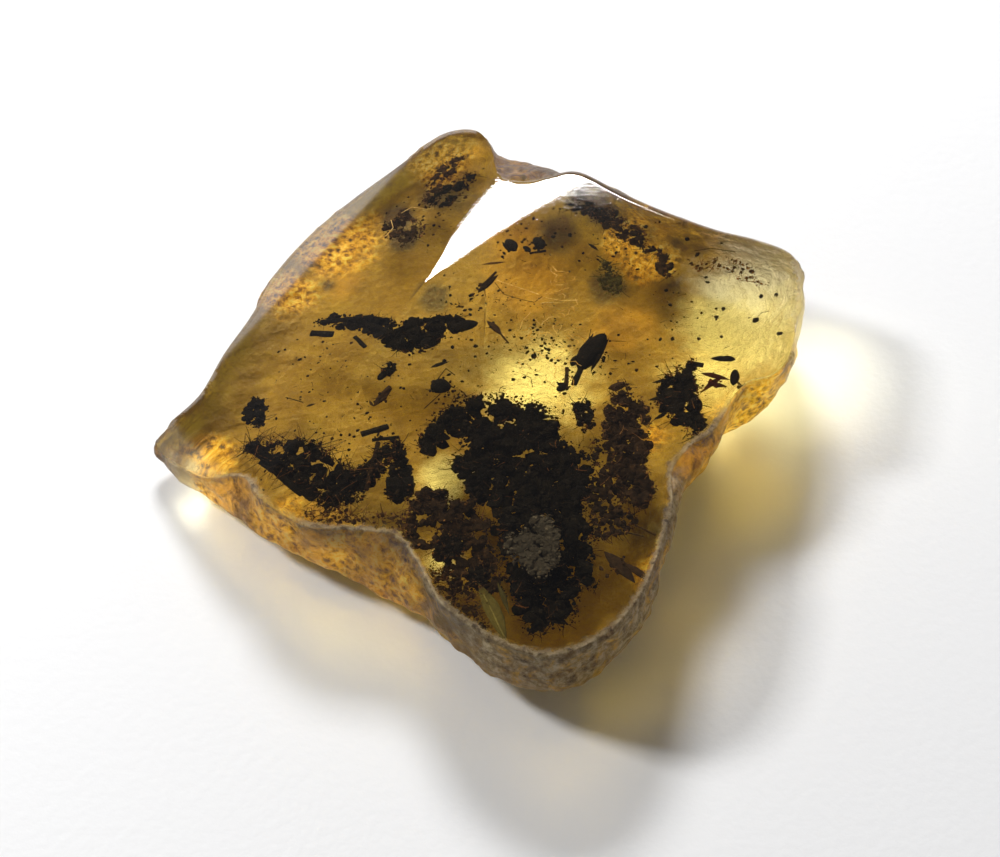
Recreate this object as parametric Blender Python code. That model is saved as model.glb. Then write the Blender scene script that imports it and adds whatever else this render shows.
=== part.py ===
"""Amber with inclusions: a flat, polished piece of clear fossil resin with plant debris sealed inside.

Blender works in metres. The driving dimensions below are in millimetres and MM turns them into metres.
+Z is up, the polished face looks up, and the origin is at the middle of the flat underside.
"""

import math
import random

import bmesh
import bpy
from mathutils import Vector

MM = 0.001

# Facets ground on the upper side. Each is a plane: height at the origin, rise per mm of X, rise per mm of Y.
MAIN_FACE = (6.0, 0.045, -0.033)
LEFT_FACET = (11.52, 0.451, -0.282)
FAR_FACET = (8.2, 0.19, -0.19)
TIP_FACET = (18.2, 0.733, 0.214)
BEND_DEPTH = 0.12
RAW_TOP = 9.0
MERGE_DISTANCE = 1e-8

# The raw nodule, clockwise from the left tip and seen from above: where its wall meets the polished
# side (x, y), how far the wall stands out below that, and how high the wall's widest line is.
OUTLINE = [
    (-20.8, -3.9, 0.1, 1.5),
    (-19.8, -2.8, 0.0, 1.6),
    (-18.1, -0.6, 0.0, 1.8),
    (-16.9, 3.0, 0.0, 1.7),
    (-15.4, 6.6, 0.0, 1.5),
    (-14.2, 10.7, 0.0, 1.3),
    (-12.0, 14.4, 0.0, 1.3),
    (-9.2, 17.3, 0.0, 1.5),
    (-6.0, 19.9, 0.0, 1.8),
    (-3.2, 22.5, 0.0, 2.0),
    (-0.9, 22.5, 0.0, 2.2),
    (0.3, 20.5, 0.9, 2.8),
    (1.0, 17.0, 2.9, 3.6),
    (2.9, 16.2, 2.7, 4.0),
    (4.3, 16.5, 1.7, 4.2),
    (6.3, 16.8, 0.3, 4.2),
    (9.1, 14.7, 0.0, 4.0),
    (11.7, 12.9, 0.0, 4.2),
    (15.2, 10.9, 0.0, 4.5),
    (17.9, 9.8, 0.0, 4.8),
    (20.0, 8.4, 0.1, 5.0),
    (20.5, 6.1, 0.2, 5.2),
    (20.0, 2.9, 0.3, 5.3),
    (19.2, -0.2, 0.2, 5.3),
    (18.1, -1.9, 0.0, 5.2),
    (16.5, -2.5, 0.0, 4.4),
    (15.5, -3.6, 0.0, 5.0),
    (14.9, -5.0, 0.0, 5.6),
    (13.9, -6.6, 0.3, 5.8),
    (12.6, -7.6, 0.8, 5.9),
    (11.4, -9.5, 0.8, 5.9),
    (11.3, -12.0, 0.3, 5.9),
    (10.6, -14.6, 0.3, 5.5),
    (10.0, -16.5, 0.4, 5.2),
    (9.1, -18.6, 0.4, 4.9),
    (7.4, -20.9, 0.2, 4.4),
    (5.4, -22.2, 0.1, 4.0),
    (3.5, -22.6, 0.1, 3.8),
    (1.3, -21.8, 0.1, 3.8),
    (-0.7, -20.4, 0.0, 3.9),
    (-2.5, -18.7, 0.0, 4.0),
    (-3.4, -16.8, 0.2, 3.2),
    (-4.4, -14.9, 1.2, 2.2),
    (-5.6, -13.7, 1.6, 1.9),
    (-7.9, -13.3, 0.5, 2.0),
    (-10.3, -13.0, 0.0, 2.7),
    (-12.2, -11.8, 0.0, 2.7),
    (-13.8, -10.3, 0.3, 2.2),
    (-14.6, -8.9, 0.8, 2.0),
    (-16.7, -8.1, 0.0, 1.8),
    (-18.9, -6.3, 0.0, 1.7),
]
HEART = (0.0, -1.0)
FOOT_SHARE = 0.70
POINTS_PER_SPAN = 2
UNDERSIDE_ANGLES = (0, 28, 55, 76, 90)
WALL_MIDDLE = 0.5
WALL_FULLNESS = 0.75

# The clear stone is parted parallel to the main face, where its pockets open.
PARTING = (3.7, 0.045, -0.033)
GAP = 0.3
CLEARANCE = 0.45

# Sealed pieces: name, material, lowest and highest point beside the parting plane, and outline seen from
# above. The first list lies so close together at the heart of the stone that it shares one pocket.
CLUSTERED = [
    ("debris_mass", "black_debris", -1.2, 0.75, [
        (-4.0, -6.4), (-4.1, -5.1), (-3.2, -3.7), (-2.0, -2.6), (-0.8, -2.1), (0.5, -1.8), (2.1, -2.3),
        (3.8, -3.0), (4.4, -4.1), (5.0, -5.9), (5.9, -6.3), (6.5, -7.0), (6.7, -8.9), (6.6, -11.6),
        (6.6, -13.9), (6.4, -15.7), (6.1, -17.0), (5.5, -18.1), (5.2, -19.2), (4.2, -19.4), (3.7, -20.2),
        (3.0, -20.0), (2.4, -19.0), (1.9, -17.6), (1.5, -15.9), (1.1, -14.8), (1.0, -13.3), (0.4, -12.1),
        (1.0, -11.0), (-0.2, -10.0), (-1.0, -9.2), (-1.6, -8.0), (-1.8, -6.7), (-1.2, -5.5), (-1.7, -4.8),
        (-2.6, -5.0), (-3.0, -5.9), (-3.4, -6.7)]),
    ("grey_crust", "grey_crust", 1.1, 1.35, [
        (1.2, -14.3), (1.6, -13.4), (2.6, -13.1), (2.9, -12.4), (3.8, -12.3), (4.3, -13.0), (4.6, -14.2),
        (4.4, -15.5), (3.8, -16.3), (3.2, -16.7), (2.6, -15.9), (1.8, -15.3)]),
    ("brown_lobe", "brown_debris", -0.8, 0.8, [
        (7.6, -3.1), (8.0, -2.0), (8.6, -1.3), (9.3, -1.8), (9.8, -2.8), (10.1, -4.0), (10.2, -5.4),
        (10.2, -6.9), (9.9, -8.0), (10.2, -9.3), (10.2, -10.8), (9.5, -11.4), (8.6, -10.7), (7.8, -8.4),
        (7.6, -6.1)]),
    ("small_clump", "black_debris", -0.6, 0.6, [
        (5.6, -3.3), (6.0, -2.8), (6.7, -2.9), (6.9, -3.7), (6.8, -4.9), (6.3, -5.2), (5.9, -4.4)]),
    ("frayed_clump", "black_debris", -0.7, 0.9, [
        (11.0, -3.2), (11.2, -2.0), (11.7, -0.9), (12.4, -0.1), (13.2, 0.2), (13.3, -1.1), (13.4, -2.2),
        (13.5, -3.4), (13.3, -4.4), (13.2, -5.6), (12.7, -5.8), (12.5, -4.7), (11.6, -4.2)]),
    ("leaf_remnant", "brown_debris", -0.4, 0.5, [
        (7.3, -14.6), (8.0, -14.5), (8.5, -15.1), (8.9, -16.0), (9.0, -16.5), (8.5, -16.7), (7.7, -16.2),
        (7.2, -15.6)]),
    ("olive_leaf", "olive_leaf", -0.3, 0.4, [
        (-0.7, -17.7), (0.0, -17.4), (0.6, -17.9), (1.2, -18.9), (1.4, -19.8), (0.8, -19.8), (-0.1, -19.0)]),
    ("dark_oval", "black_debris", -0.5, 0.5, [
        (-0.8, -15.5), (-0.3, -15.1), (0.3, -15.6), (0.3, -16.5), (-0.2, -16.9), (-0.7, -16.4)]),
    ("dark_crumb", "black_debris", -0.5, 0.5, [
        (-2.7, -13.4), (-1.8, -12.9), (-1.1, -13.5), (-1.2, -14.4), (-2.0, -14.7), (-2.7, -14.2)]),
    ("brown_knot", "brown_debris", -0.7, 0.6, [
        (-3.9, -9.8), (-3.2, -9.3), (-2.1, -9.8), (-1.4, -10.6), (-1.0, -11.2), (-1.5, -11.8), (-2.8, -11.6),
        (-3.7, -11.0)]),
    ("black_block", "black_debris", -0.8, 0.7, [
        (-5.7, -7.4), (-5.2, -6.6), (-4.7, -6.9), (-4.4, -7.8), (-4.5, -8.8), (-4.6, -9.9), (-5.2, -10.2),
        (-5.7, -10.0), (-5.8, -8.7)]),
    ("stem_strand", "brown_debris", -0.3, 0.3, [
        (-7.0, -8.1), (-6.9, -7.3), (-6.7, -6.4), (-6.3, -6.3), (-6.3, -7.0), (-6.5, -7.9), (-6.8, -8.4)]),
    ("leaf_litter", "black_debris", -0.6, 0.7, [
        (-14.6, -5.4), (-14.1, -5.1), (-13.3, -5.7), (-12.4, -5.5), (-10.4, -5.5), (-9.7, -6.8), (-8.5, -7.5),
        (-7.9, -8.4), (-8.0, -9.1), (-8.4, -9.7), (-9.3, -10.0), (-10.5, -9.7), (-11.6, -8.8), (-12.6, -7.4),
        (-13.8, -6.3)]),
    ("red_sepals", "red_sepals", -0.3, 0.3, [
        (13.9, -1.1), (14.6, -1.1), (15.1, -1.3), (15.0, -2.0), (14.5, -2.2), (14.0, -1.9)]),
    ("dark_grain", "black_debris", -0.3, 0.3, [
        (15.5, -0.9), (15.8, -0.8), (16.0, -1.5), (15.8, -1.8), (15.5, -1.5)]),
]
SCATTERED = [
    ("bark_strip", "black_debris", -0.6, 0.5, [
        (-11.3, 4.5), (-10.7, 5.3), (-9.1, 5.4), (-7.8, 5.0), (-6.4, 4.7), (-4.1, 4.7), (-2.2, 4.9),
        (-1.1, 4.1), (-1.2, 3.4), (-2.2, 3.1), (-2.9, 2.5), (-4.8, 1.8), (-6.1, 2.1), (-6.8, 2.9),
        (-7.9, 3.5), (-9.0, 4.3), (-10.3, 4.1)]),
    ("black_flake", "black_debris", -0.4, 0.4, [
        (-15.0, -2.2), (-14.7, -1.2), (-14.0, -1.6), (-13.5, -2.3), (-13.5, -3.5), (-13.8, -4.1),
        (-14.4, -3.8), (-14.9, -3.1)]),
    ("twig_chip", "black_debris", -0.3, 0.3, [
        (-7.5, -5.0), (-6.7, -4.5), (-6.1, -4.2), (-6.1, -4.6), (-6.9, -5.2), (-7.3, -5.3)]),
    ("brown_splinter", "brown_debris", -0.3, 0.3, [
        (-6.9, -2.5), (-6.8, -1.8), (-6.2, -1.2), (-5.8, -1.3), (-5.8, -1.9), (-6.3, -2.5)]),
    ("small_flake", "black_debris", -0.3, 0.3, [
        (-6.4, 0.0), (-6.6, 0.6), (-6.1, 0.9), (-5.6, 0.8), (-5.6, 0.2), (-6.0, -0.1)]),
    ("round_seed", "black_debris", -0.4, 0.4, [
        (-3.2, -1.0), (-2.9, -0.4), (-2.4, -0.5), (-2.2, -1.1), (-2.5, -1.7), (-3.0, -1.6)]),
    ("bud", "black_debris", -0.4, 0.5, [
        (6.0, -0.1), (6.2, 1.2), (6.7, 2.2), (7.5, 2.7), (7.8, 2.0), (7.6, 1.0), (7.1, 0.3), (6.6, -0.1)]),
    ("brown_husk", "brown_debris", -0.3, 0.3, [
        (0.2, 3.9), (0.7, 4.3), (1.2, 3.4), (0.9, 3.0)]),
    ("dark_spindle", "black_debris", -0.3, 0.3, [
        (14.5, 0.5), (15.1, 0.8), (15.9, 0.6), (15.8, 0.2), (15.1, 0.1)]),
    ("dart", "brown_debris", -0.3, 0.3, [
        (-0.4, 6.8), (-0.1, 7.8), (0.6, 8.4), (0.9, 8.0), (0.3, 7.0)]),
    ("upper_grain", "black_debris", -0.3, 0.3, [
        (1.3, 11.2), (1.7, 11.6), (2.2, 11.2), (2.1, 10.6), (1.5, 10.5)]),
    ("upper_husk", "black_debris", -0.3, 0.3, [
        (3.1, 10.9), (3.5, 11.7), (4.0, 11.3), (4.0, 10.6), (3.5, 10.5)]),
]
FRAY_STEP = 0.75
FRAY = 0.09
FRAY_HEIGHT = 0.06
SHOULDER = 0.28
CROWN_INSET = 0.10

SHARED_POCKET = [
    (-15.2, -5.3), (-14.3, -4.5), (-13.2, -5.1), (-12.3, -4.9), (-10.1, -4.9), (-9.1, -6.3), (-7.7, -7.0),
    (-7.3, -6.1), (-6.2, -5.8), (-5.2, -5.9), (-4.7, -5.0), (-3.6, -3.2), (-2.2, -2.1), (0.5, -1.2),
    (2.2, -1.7), (4.1, -2.4), (5.2, -2.9), (5.8, -2.3), (6.9, -2.3), (7.5, -1.6), (8.5, -0.7),
    (9.6, -1.2), (10.6, -2.0), (11.2, -0.6), (12.2, 0.4), (13.7, 0.7), (13.9, -0.5), (15.1, -0.4),
    (16.3, -0.3), (16.5, -1.5), (16.0, -2.3), (15.4, -2.6), (14.2, -2.8), (14.1, -4.2), (13.7, -6.0),
    (12.6, -6.3), (11.0, -6.6), (10.7, -8.0), (10.8, -9.5), (10.7, -11.2), (9.7, -12.0), (9.2, -13.9),
    (9.5, -16.0), (9.4, -17.0), (8.4, -17.2), (7.2, -16.9), (6.6, -17.6), (6.0, -18.6), (5.7, -19.6),
    (4.6, -19.9), (4.1, -20.7), (2.8, -20.6), (1.8, -20.3), (0.6, -20.3), (-0.5, -19.3), (-1.2, -17.8),
    (-1.3, -15.5), (-2.2, -15.2), (-3.2, -14.4), (-3.2, -13.0), (-3.6, -11.8), (-4.4, -11.0), (-5.3, -10.7),
    (-6.3, -10.3), (-7.2, -9.0), (-7.8, -9.6), (-9.2, -10.5), (-10.8, -10.2), (-12.0, -9.3), (-13.1, -7.9),
    (-14.3, -6.8),
]
SHARED_FLOOR = -1.65
SHARED_ROOF = 1.65

# Colour, roughness and opacity of each finish.
FINISHES = {
    "amber": ((0.85, 0.55, 0.08), 0.05, 1.0),
    "black_debris": ((0.02, 0.012, 0.006), 0.7, 0.0),
    "brown_debris": ((0.09, 0.045, 0.015), 0.7, 0.0),
    "red_sepals": ((0.2, 0.03, 0.01), 0.6, 0.0),
    "olive_leaf": ((0.2, 0.16, 0.03), 0.6, 0.2),
    "grey_crust": ((0.25, 0.21, 0.17), 0.8, 0.0),
}
AMBER_IOR = 1.54


def clear_scene():
    for thing in list(bpy.data.objects):
        bpy.data.objects.remove(thing, do_unlink=True)


def new_collection(name):
    collection = bpy.data.collections.new(name)
    bpy.context.scene.collection.children.link(collection)
    return collection


def make_finish(name):
    colour, roughness, clearness = FINISHES[name]
    material = bpy.data.materials.new(name)
    material.use_nodes = True
    shader = material.node_tree.nodes["Principled BSDF"]
    shader.inputs["Base Color"].default_value = (*colour, 1.0)
    shader.inputs["Roughness"].default_value = roughness
    shader.inputs["Metallic"].default_value = 0.0
    shader.inputs["IOR"].default_value = AMBER_IOR
    shader.inputs["Transmission Weight"].default_value = clearness
    material.diffuse_color = (*colour, 1.0)
    return material


def object_from(bm, name, collection, material=None):
    bmesh.ops.recalc_face_normals(bm, faces=bm.faces)
    if bm.calc_volume(signed=True) < 0:
        bmesh.ops.reverse_faces(bm, faces=bm.faces)
    mesh = bpy.data.meshes.new(name)
    bm.to_mesh(mesh)
    bm.free()
    thing = bpy.data.objects.new(name, mesh)
    collection.objects.link(thing)
    if material:
        mesh.materials.append(material)
    return thing


def height(facet, x, y):
    level, along_x, along_y = facet
    return level + along_x * x + along_y * y


def raised(facet, amount):
    level, along_x, along_y = facet
    return level + amount, along_x, along_y


def between(first, second, lowered):
    middle = [(a + b) / 2 for a, b in zip(first, second)]
    return raised(middle, -lowered)


def smooth_ring(rows, per_span):
    """A closed Catmull-Rom curve through the rows, every column at once."""
    smooth = []
    count = len(rows)
    for i in range(count):
        before, here, after, beyond = (rows[(i + k) % count] for k in (-1, 0, 1, 2))
        for step in range(per_span):
            t = step / per_span
            smooth.append([catmull_rom(t, *column) for column in zip(before, here, after, beyond)])
    return smooth


def catmull_rom(t, a, b, c, d):
    """The value t of the way from b to c on a smooth curve that comes from a and goes on to d."""
    return b + 0.5 * t * (c - a + t * (2 * a - 5 * b + 4 * c - d + t * (3 * (b - c) + d - a)))


def loft(rings):
    """A closed solid through rings of equal count, with a flat face on the first and the last."""
    bm = bmesh.new()
    loops = [[bm.verts.new(Vector(point) * MM) for point in ring] for ring in rings]
    count = len(loops[0])
    for low, high in zip(loops, loops[1:]):
        for i in range(count):
            j = (i + 1) % count
            bm.faces.new((low[i], low[j], high[j], high[i]))
    bm.faces.new(loops[0])
    bm.faces.new(loops[-1])
    return bm


def grind(bm, facet, keep_above=False):
    """Cuts away what is above the facet's plane, or below it, and closes the cut with a flat face."""
    level, along_x, along_y = facet
    normal = Vector((-along_x, -along_y, 1.0)).normalized()
    everything = bm.verts[:] + bm.edges[:] + bm.faces[:]
    bmesh.ops.bisect_plane(
        bm, geom=everything, dist=MERGE_DISTANCE, plane_co=(0, 0, level * MM), plane_no=normal,
        clear_outer=not keep_above, clear_inner=keep_above)
    bmesh.ops.holes_fill(bm, edges=[edge for edge in bm.edges if edge.is_boundary], sides=0)


def raw_nodule():
    """The unworked stone: flat underside, rounded flank, widest line, wall, and a flat blank top."""
    stations = smooth_ring(OUTLINE, POINTS_PER_SPAN)
    rings = []
    for angle in UNDERSIDE_ANGLES:
        outward, rise = math.sin(math.radians(angle)), 1 - math.cos(math.radians(angle))
        rings.append([place(row, outward, row[3] * rise) for row in stations])
    rings.append([wall_point(row) for row in stations])
    rings.append([(row[0], row[1], polished_height(row[0], row[1])) for row in stations])
    rings.append([(row[0], row[1], RAW_TOP) for row in stations])
    return loft(rings)


def place(row, outward, z):
    """A point of the flank: outward is 0 at the foot's edge and 1 on the widest line."""
    x, y, flare, _ = row
    away = Vector((x - HEART[0], y - HEART[1]))
    reach = away.length
    foot = reach * FOOT_SHARE
    spot = away.normalized() * (foot + (reach + flare - foot) * outward)
    return HEART[0] + spot.x, HEART[1] + spot.y, z


def wall_point(row):
    """A point half way up the wall, which keeps most of its flare there."""
    x, y, flare, girth = row
    away = Vector((x - HEART[0], y - HEART[1])).normalized() * flare * WALL_FULLNESS
    return x + away.x, y + away.y, girth + (polished_height(x, y) - girth) * WALL_MIDDLE


def polished_height(x, y):
    return min(height(facet, x, y) for facet in (MAIN_FACE, FAR_FACET, LEFT_FACET, TIP_FACET))


def make_amber(collection, material, pockets):
    roof = ("amber_upper", raised(PARTING, GAP / 2), True)
    base = ("amber_lower", raised(PARTING, -GAP / 2), False)
    for name, cut, keep_above in (roof, base):
        bm = raw_nodule()
        for facet in (MAIN_FACE, between(MAIN_FACE, FAR_FACET, BEND_DEPTH), FAR_FACET, LEFT_FACET, TIP_FACET):
            grind(bm, facet)
        grind(bm, cut, keep_above)
        half = object_from(bm, name, collection, material)
        carve = half.modifiers.new("pockets", "BOOLEAN")
        carve.operation = "DIFFERENCE"
        carve.solver = "EXACT"
        carve.operand_type = "COLLECTION"
        carve.collection = pockets


def outward_normals(outline):
    """A unit vector pointing out of the outline at each of its points."""
    turn = sum(a[0] * b[1] - b[0] * a[1] for a, b in zip(outline, outline[1:] + outline[:1]))
    side = 1 if turn > 0 else -1
    normals = []
    for before, after in zip(outline[-1:] + outline[:-1], outline[1:] + outline[:1]):
        along = Vector(after) - Vector(before)
        normals.append(Vector((along.y, -along.x)).normalized() * side)
    return normals


def grown(outline, amount):
    return [tuple(Vector(spot) + normal * amount) for spot, normal in zip(outline, outward_normals(outline))]


def frayed(outline, rng):
    """The outline with its sides broken into short ragged steps."""
    points = []
    for start, end in zip(outline, outline[1:] + outline[:1]):
        side = Vector(end) - Vector(start)
        steps = max(1, round(side.length / FRAY_STEP))
        points.extend(tuple(Vector(start) + side * k / steps) for k in range(steps))
    return [tuple(Vector(spot) + normal * rng.uniform(-2 * FRAY, FRAY))
            for spot, normal in zip(points, outward_normals(points))]


def make_piece(name, material, low, high, outline, collection, seed):
    """A flat ragged crumb: a shoulder ring near its underside and its top, and a smaller ring on each."""
    rng = random.Random(seed)
    edge = frayed(outline, rng)
    crown = grown(edge, -CROWN_INSET)
    thick = high - low
    shoulder = SHOULDER * thick
    fray = FRAY_HEIGHT * thick
    rings = []
    for ring, level in ((crown, low), (edge, low + shoulder), (edge, high - shoulder), (crown, high)):
        plane = raised(PARTING, level)
        rings.append([(x, y, height(plane, x, y) + rng.uniform(-fray, fray)) for x, y in ring])
    bm = loft(rings)
    bmesh.ops.triangulate(bm, faces=bm.faces)
    return object_from(bm, name, collection, material)


def make_pocket(name, outline, floor, roof, cutters):
    rings = [[(x, y, height(raised(PARTING, level), x, y)) for x, y in outline] for level in (floor, roof)]
    cutter = object_from(loft(rings), name + "_pocket", cutters)
    cutter.hide_render = True
    cutter.display_type = "WIRE"


def main():
    clear_scene()
    parts = new_collection("amber with inclusions")
    cutters = new_collection("pockets")
    finishes = {name: make_finish(name) for name in FINISHES}
    make_pocket("shared", SHARED_POCKET, SHARED_FLOOR, SHARED_ROOF, cutters)
    for seed, (name, finish, low, high, outline) in enumerate(CLUSTERED + SCATTERED):
        make_piece(name, finishes[finish], low, high, outline, parts, seed)
    for name, _, low, high, outline in SCATTERED:
        make_pocket(name, grown(outline, CLEARANCE), low - CLEARANCE, high + CLEARANCE, cutters)
    make_amber(parts, finishes["amber"], cutters)


main()
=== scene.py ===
# %% [markdown]
# Amber is fossil resin. This piece was ground flat on its upper side, and its flank and underside still
# have the raw rind. Plant debris is sealed in it. The CAD model gives the size and the place of every
# piece, so the scene starts by loading it.

import math

import bpy
import numpy as np
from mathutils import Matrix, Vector


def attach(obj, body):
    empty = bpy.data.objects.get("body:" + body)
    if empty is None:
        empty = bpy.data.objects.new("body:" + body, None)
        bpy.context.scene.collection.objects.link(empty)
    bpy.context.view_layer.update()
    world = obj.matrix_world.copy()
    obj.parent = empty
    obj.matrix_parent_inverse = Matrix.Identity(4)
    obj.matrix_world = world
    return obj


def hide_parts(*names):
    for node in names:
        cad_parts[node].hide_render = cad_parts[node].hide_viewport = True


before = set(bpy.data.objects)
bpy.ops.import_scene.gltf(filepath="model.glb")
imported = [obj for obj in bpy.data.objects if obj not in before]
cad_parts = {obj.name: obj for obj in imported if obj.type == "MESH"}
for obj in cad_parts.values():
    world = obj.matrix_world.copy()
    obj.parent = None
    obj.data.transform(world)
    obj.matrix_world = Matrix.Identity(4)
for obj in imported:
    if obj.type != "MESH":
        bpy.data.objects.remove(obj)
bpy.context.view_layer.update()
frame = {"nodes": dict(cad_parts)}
MM = 0.001
print("CAD nodes:", len(frame["nodes"]))

# %% [markdown]
# The photograph looks down on the stone from about 52 degrees, with a lens that flattens it a little. The
# camera is set back along that line from a point just in front of the stone's middle.

# %% Camera
CAMERA_TARGET = Vector((1.0, -3.55, 3.4)) * MM
CAMERA_DISTANCE = 140 * MM
CAMERA_ELEVATION = math.radians(52)
CAMERA_LENS = 80
LIGHT_TURNS = 8

towards_camera = Vector((0, -math.cos(CAMERA_ELEVATION), math.sin(CAMERA_ELEVATION)))
bpy.ops.object.camera_add(
    location=CAMERA_TARGET + towards_camera * CAMERA_DISTANCE,
    rotation=(math.radians(90) - CAMERA_ELEVATION, 0, 0))
camera = bpy.context.object
camera.data.lens = CAMERA_LENS
camera.data.sensor_width = 36
camera.data.clip_start = 0.01
scene = bpy.context.scene
scene.camera = camera
scene.view_settings.view_transform = "Standard"
# Light has to turn a few times to get into the stone and out of it.
scene.cycles.max_bounces = LIGHT_TURNS
scene.cycles.transmission_bounces = LIGHT_TURNS
scene.cycles.diffuse_bounces = 3
scene.cycles.glossy_bounces = 3
print("camera", tuple(round(c, 4) for c in camera.location))

# %% [markdown]
# A material in Blender is a net of nodes. Two small classes keep the nets short to write: Finish adds a
# node of any type with its settings and sockets, and Wire is a socket that takes part in Python sums, so
# that 1 - mask adds a Math node by itself.

# %% Helpers for materials


def sign(operation, swapped=False):
    """What + or - or * does to a wire: it adds a Math node. Swapped is for 1 - mask, not mask - 1."""
    def act(self, other):
        first, second = (other, self) if swapped else (self, other)
        return self.sum(operation, first, second)
    return act


class Wire:
    """One output socket of a net, which can be added, multiplied and so on."""

    def __init__(self, net, socket):
        self.net = net
        self.socket = socket

    def sum(self, operation, first, second):
        return self.net.add("Math", {"operation": operation}, {0: first, 1: second})

    __add__ = sign("ADD")
    __radd__ = sign("ADD", swapped=True)
    __sub__ = sign("SUBTRACT")
    __rsub__ = sign("SUBTRACT", swapped=True)
    __mul__ = sign("MULTIPLY")
    __rmul__ = sign("MULTIPLY", swapped=True)

    def clamped(self):
        return self.sum("MINIMUM", self.sum("MAXIMUM", self, 0.0), 1.0)

    def step(self, start, end):
        """0 below start, 1 above end, and a smooth rise between them."""
        settings = {"interpolation_type": "SMOOTHSTEP"}
        return self.net.add("MapRange", settings, {"Value": self, "From Min": start, "From Max": end})


class Finish:
    """A net of nodes, for a material or for the world."""

    def __init__(self, owner):
        owner.use_nodes = True
        self.owner = owner
        self.tree = owner.node_tree
        self.tree.nodes.clear()

    def add(self, kind, settings=None, sockets=None, out=0):
        node = self.tree.nodes.new("ShaderNode" + kind)
        for name, value in (settings or {}).items():
            if name == "stops":
                self.lay_stops(node.color_ramp, value)
            else:
                setattr(node, name, value)
        for name, value in (sockets or {}).items():
            if isinstance(value, Wire):
                self.tree.links.new(value.socket, node.inputs[name])
            else:
                node.inputs[name].default_value = value
        return Wire(self, node.outputs[out]) if node.outputs else None

    def lay_stops(self, ramp, stops):
        while len(ramp.elements) < len(stops):
            ramp.elements.new(0.5)
        for element, (place, colour) in zip(ramp.elements, stops):
            element.position = place
            element.color = (*colour, 1.0)

    def place(self):
        return self.add("TexCoord", out=3)

    def moved(self, place, turned, scale):
        return self.add("Mapping", {}, {"Vector": place, "Rotation": turned, "Scale": scale})

    def noise(self, place, size_mm, detail=3.0, roughness=0.55, distortion=0.0):
        """Cloudy values of about 0.3 to 0.7, with patches of the given size."""
        sockets = {"Vector": place, "Scale": 1 / (size_mm * MM), "Detail": detail,
                   "Roughness": roughness, "Distortion": distortion}
        return self.add("TexNoise", {}, sockets)

    def cells(self, place, size_mm):
        return self.add("TexVoronoi", {"feature": "F1"}, {"Vector": place, "Scale": 1 / (size_mm * MM)})

    def ramp(self, value, stops):
        return self.add("ValToRGB", {"stops": stops}, {0: value})

    def blend(self, share, first, second):
        """The first colour where share is 0 and the second where it is 1."""
        colour = [c if isinstance(c, Wire) else (*c, 1.0) for c in (first, second)]
        return self.add("Mix", {"data_type": "RGBA"}, {0: share, 6: colour[0], 7: colour[1]}, out=2)

    def bump(self, height, depth_mm):
        return self.add("Bump", {}, {"Height": height, "Distance": depth_mm * MM, "Strength": 1.0})

    def attribute(self, name):
        return self.add("Attribute", {"attribute_name": name}, out=2)

    def mixed(self, share, first, second):
        return self.add("MixShader", {}, {0: share, 1: first, 2: second})

    def output(self, sockets):
        kind = "OutputWorld" if isinstance(self.owner, bpy.types.World) else "OutputMaterial"
        self.add(kind, {}, sockets)


def new_finish(name):
    return Finish(bpy.data.materials.new(name))


# %% [markdown]
# The stone lies on white paper. The paper is one large sheet, and it counts as the stage, not as part of
# the object. A faint bump keeps it from looking like plain plastic.

# %% Paper
PAPER_SIZE = 3.0
PAPER_DROP = 0.02 * MM

bpy.ops.mesh.primitive_plane_add(size=PAPER_SIZE, location=(0, 0, -PAPER_DROP))
paper = bpy.context.object
paper.name = "paper"
finish = new_finish("white_paper")
fibres = finish.noise(finish.place(), 0.6, detail=4)
sheet = finish.add("BsdfPrincipled", {}, {
    "Base Color": (0.88, 0.88, 0.88, 1.0), "Roughness": 0.75,
    "Normal": finish.bump(fibres, 0.02)})
finish.output({"Surface": sheet})
paper.data.materials.append(finish.owner)
print("paper", PAPER_SIZE, "m")

# %% [markdown]
# Two windows light the photograph, which its two grey shadows show: one stands almost straight behind the
# stone and one far round to the left. An area light of the right size at the right place gives the same
# shadows, and the first of them is also the white wedge on the polished face.

# %% Lamps
# Degrees left of +Y, degrees up, distance in metres, width, height, power in watts.
LAMPS = {
    "back_window": (6, 36, 0.40, 0.115, 0.070, 1.45),
    "left_window": (74, 39, 0.36, 0.060, 0.060, 0.92),
}


def direction(azimuth_left, elevation):
    """A unit vector towards a place so many degrees left of +Y and above the horizon."""
    turn = math.radians(azimuth_left)
    rise = math.radians(elevation)
    return Vector((-math.sin(turn) * math.cos(rise), math.cos(turn) * math.cos(rise), math.sin(rise)))


for name, (azimuth_left, elevation, distance, width, height, power) in LAMPS.items():
    towards = direction(azimuth_left, elevation)
    bpy.ops.object.light_add(type="AREA", location=towards * distance)
    lamp = bpy.context.object
    lamp.name = name
    lamp.rotation_euler = towards.to_track_quat("Z", "Y").to_euler()
    lamp.data.shape = "RECTANGLE"
    lamp.data.size = width
    lamp.data.size_y = height
    lamp.data.energy = power

print("lamps:", ", ".join(LAMPS))

# %% [markdown]
# The pale room behind the stone shows as a soft reflection in its far facets. It is brightest near the
# horizon and fades upwards, and the side behind the camera is darker, so that the main face stays clear.

# %% Sky
# Height above the horizon from 0 to 1, and the colour there.
SKY_COLOURS = [
    (0.0, (1.8, 1.8, 1.85)), (0.2, (1.8, 1.8, 1.85)), (0.3, (0.6, 0.6, 0.62)), (0.42, (0.15, 0.15, 0.16)),
    (1.0, (0.09, 0.09, 0.095))]
LEAST_SKY = 0.25

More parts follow.
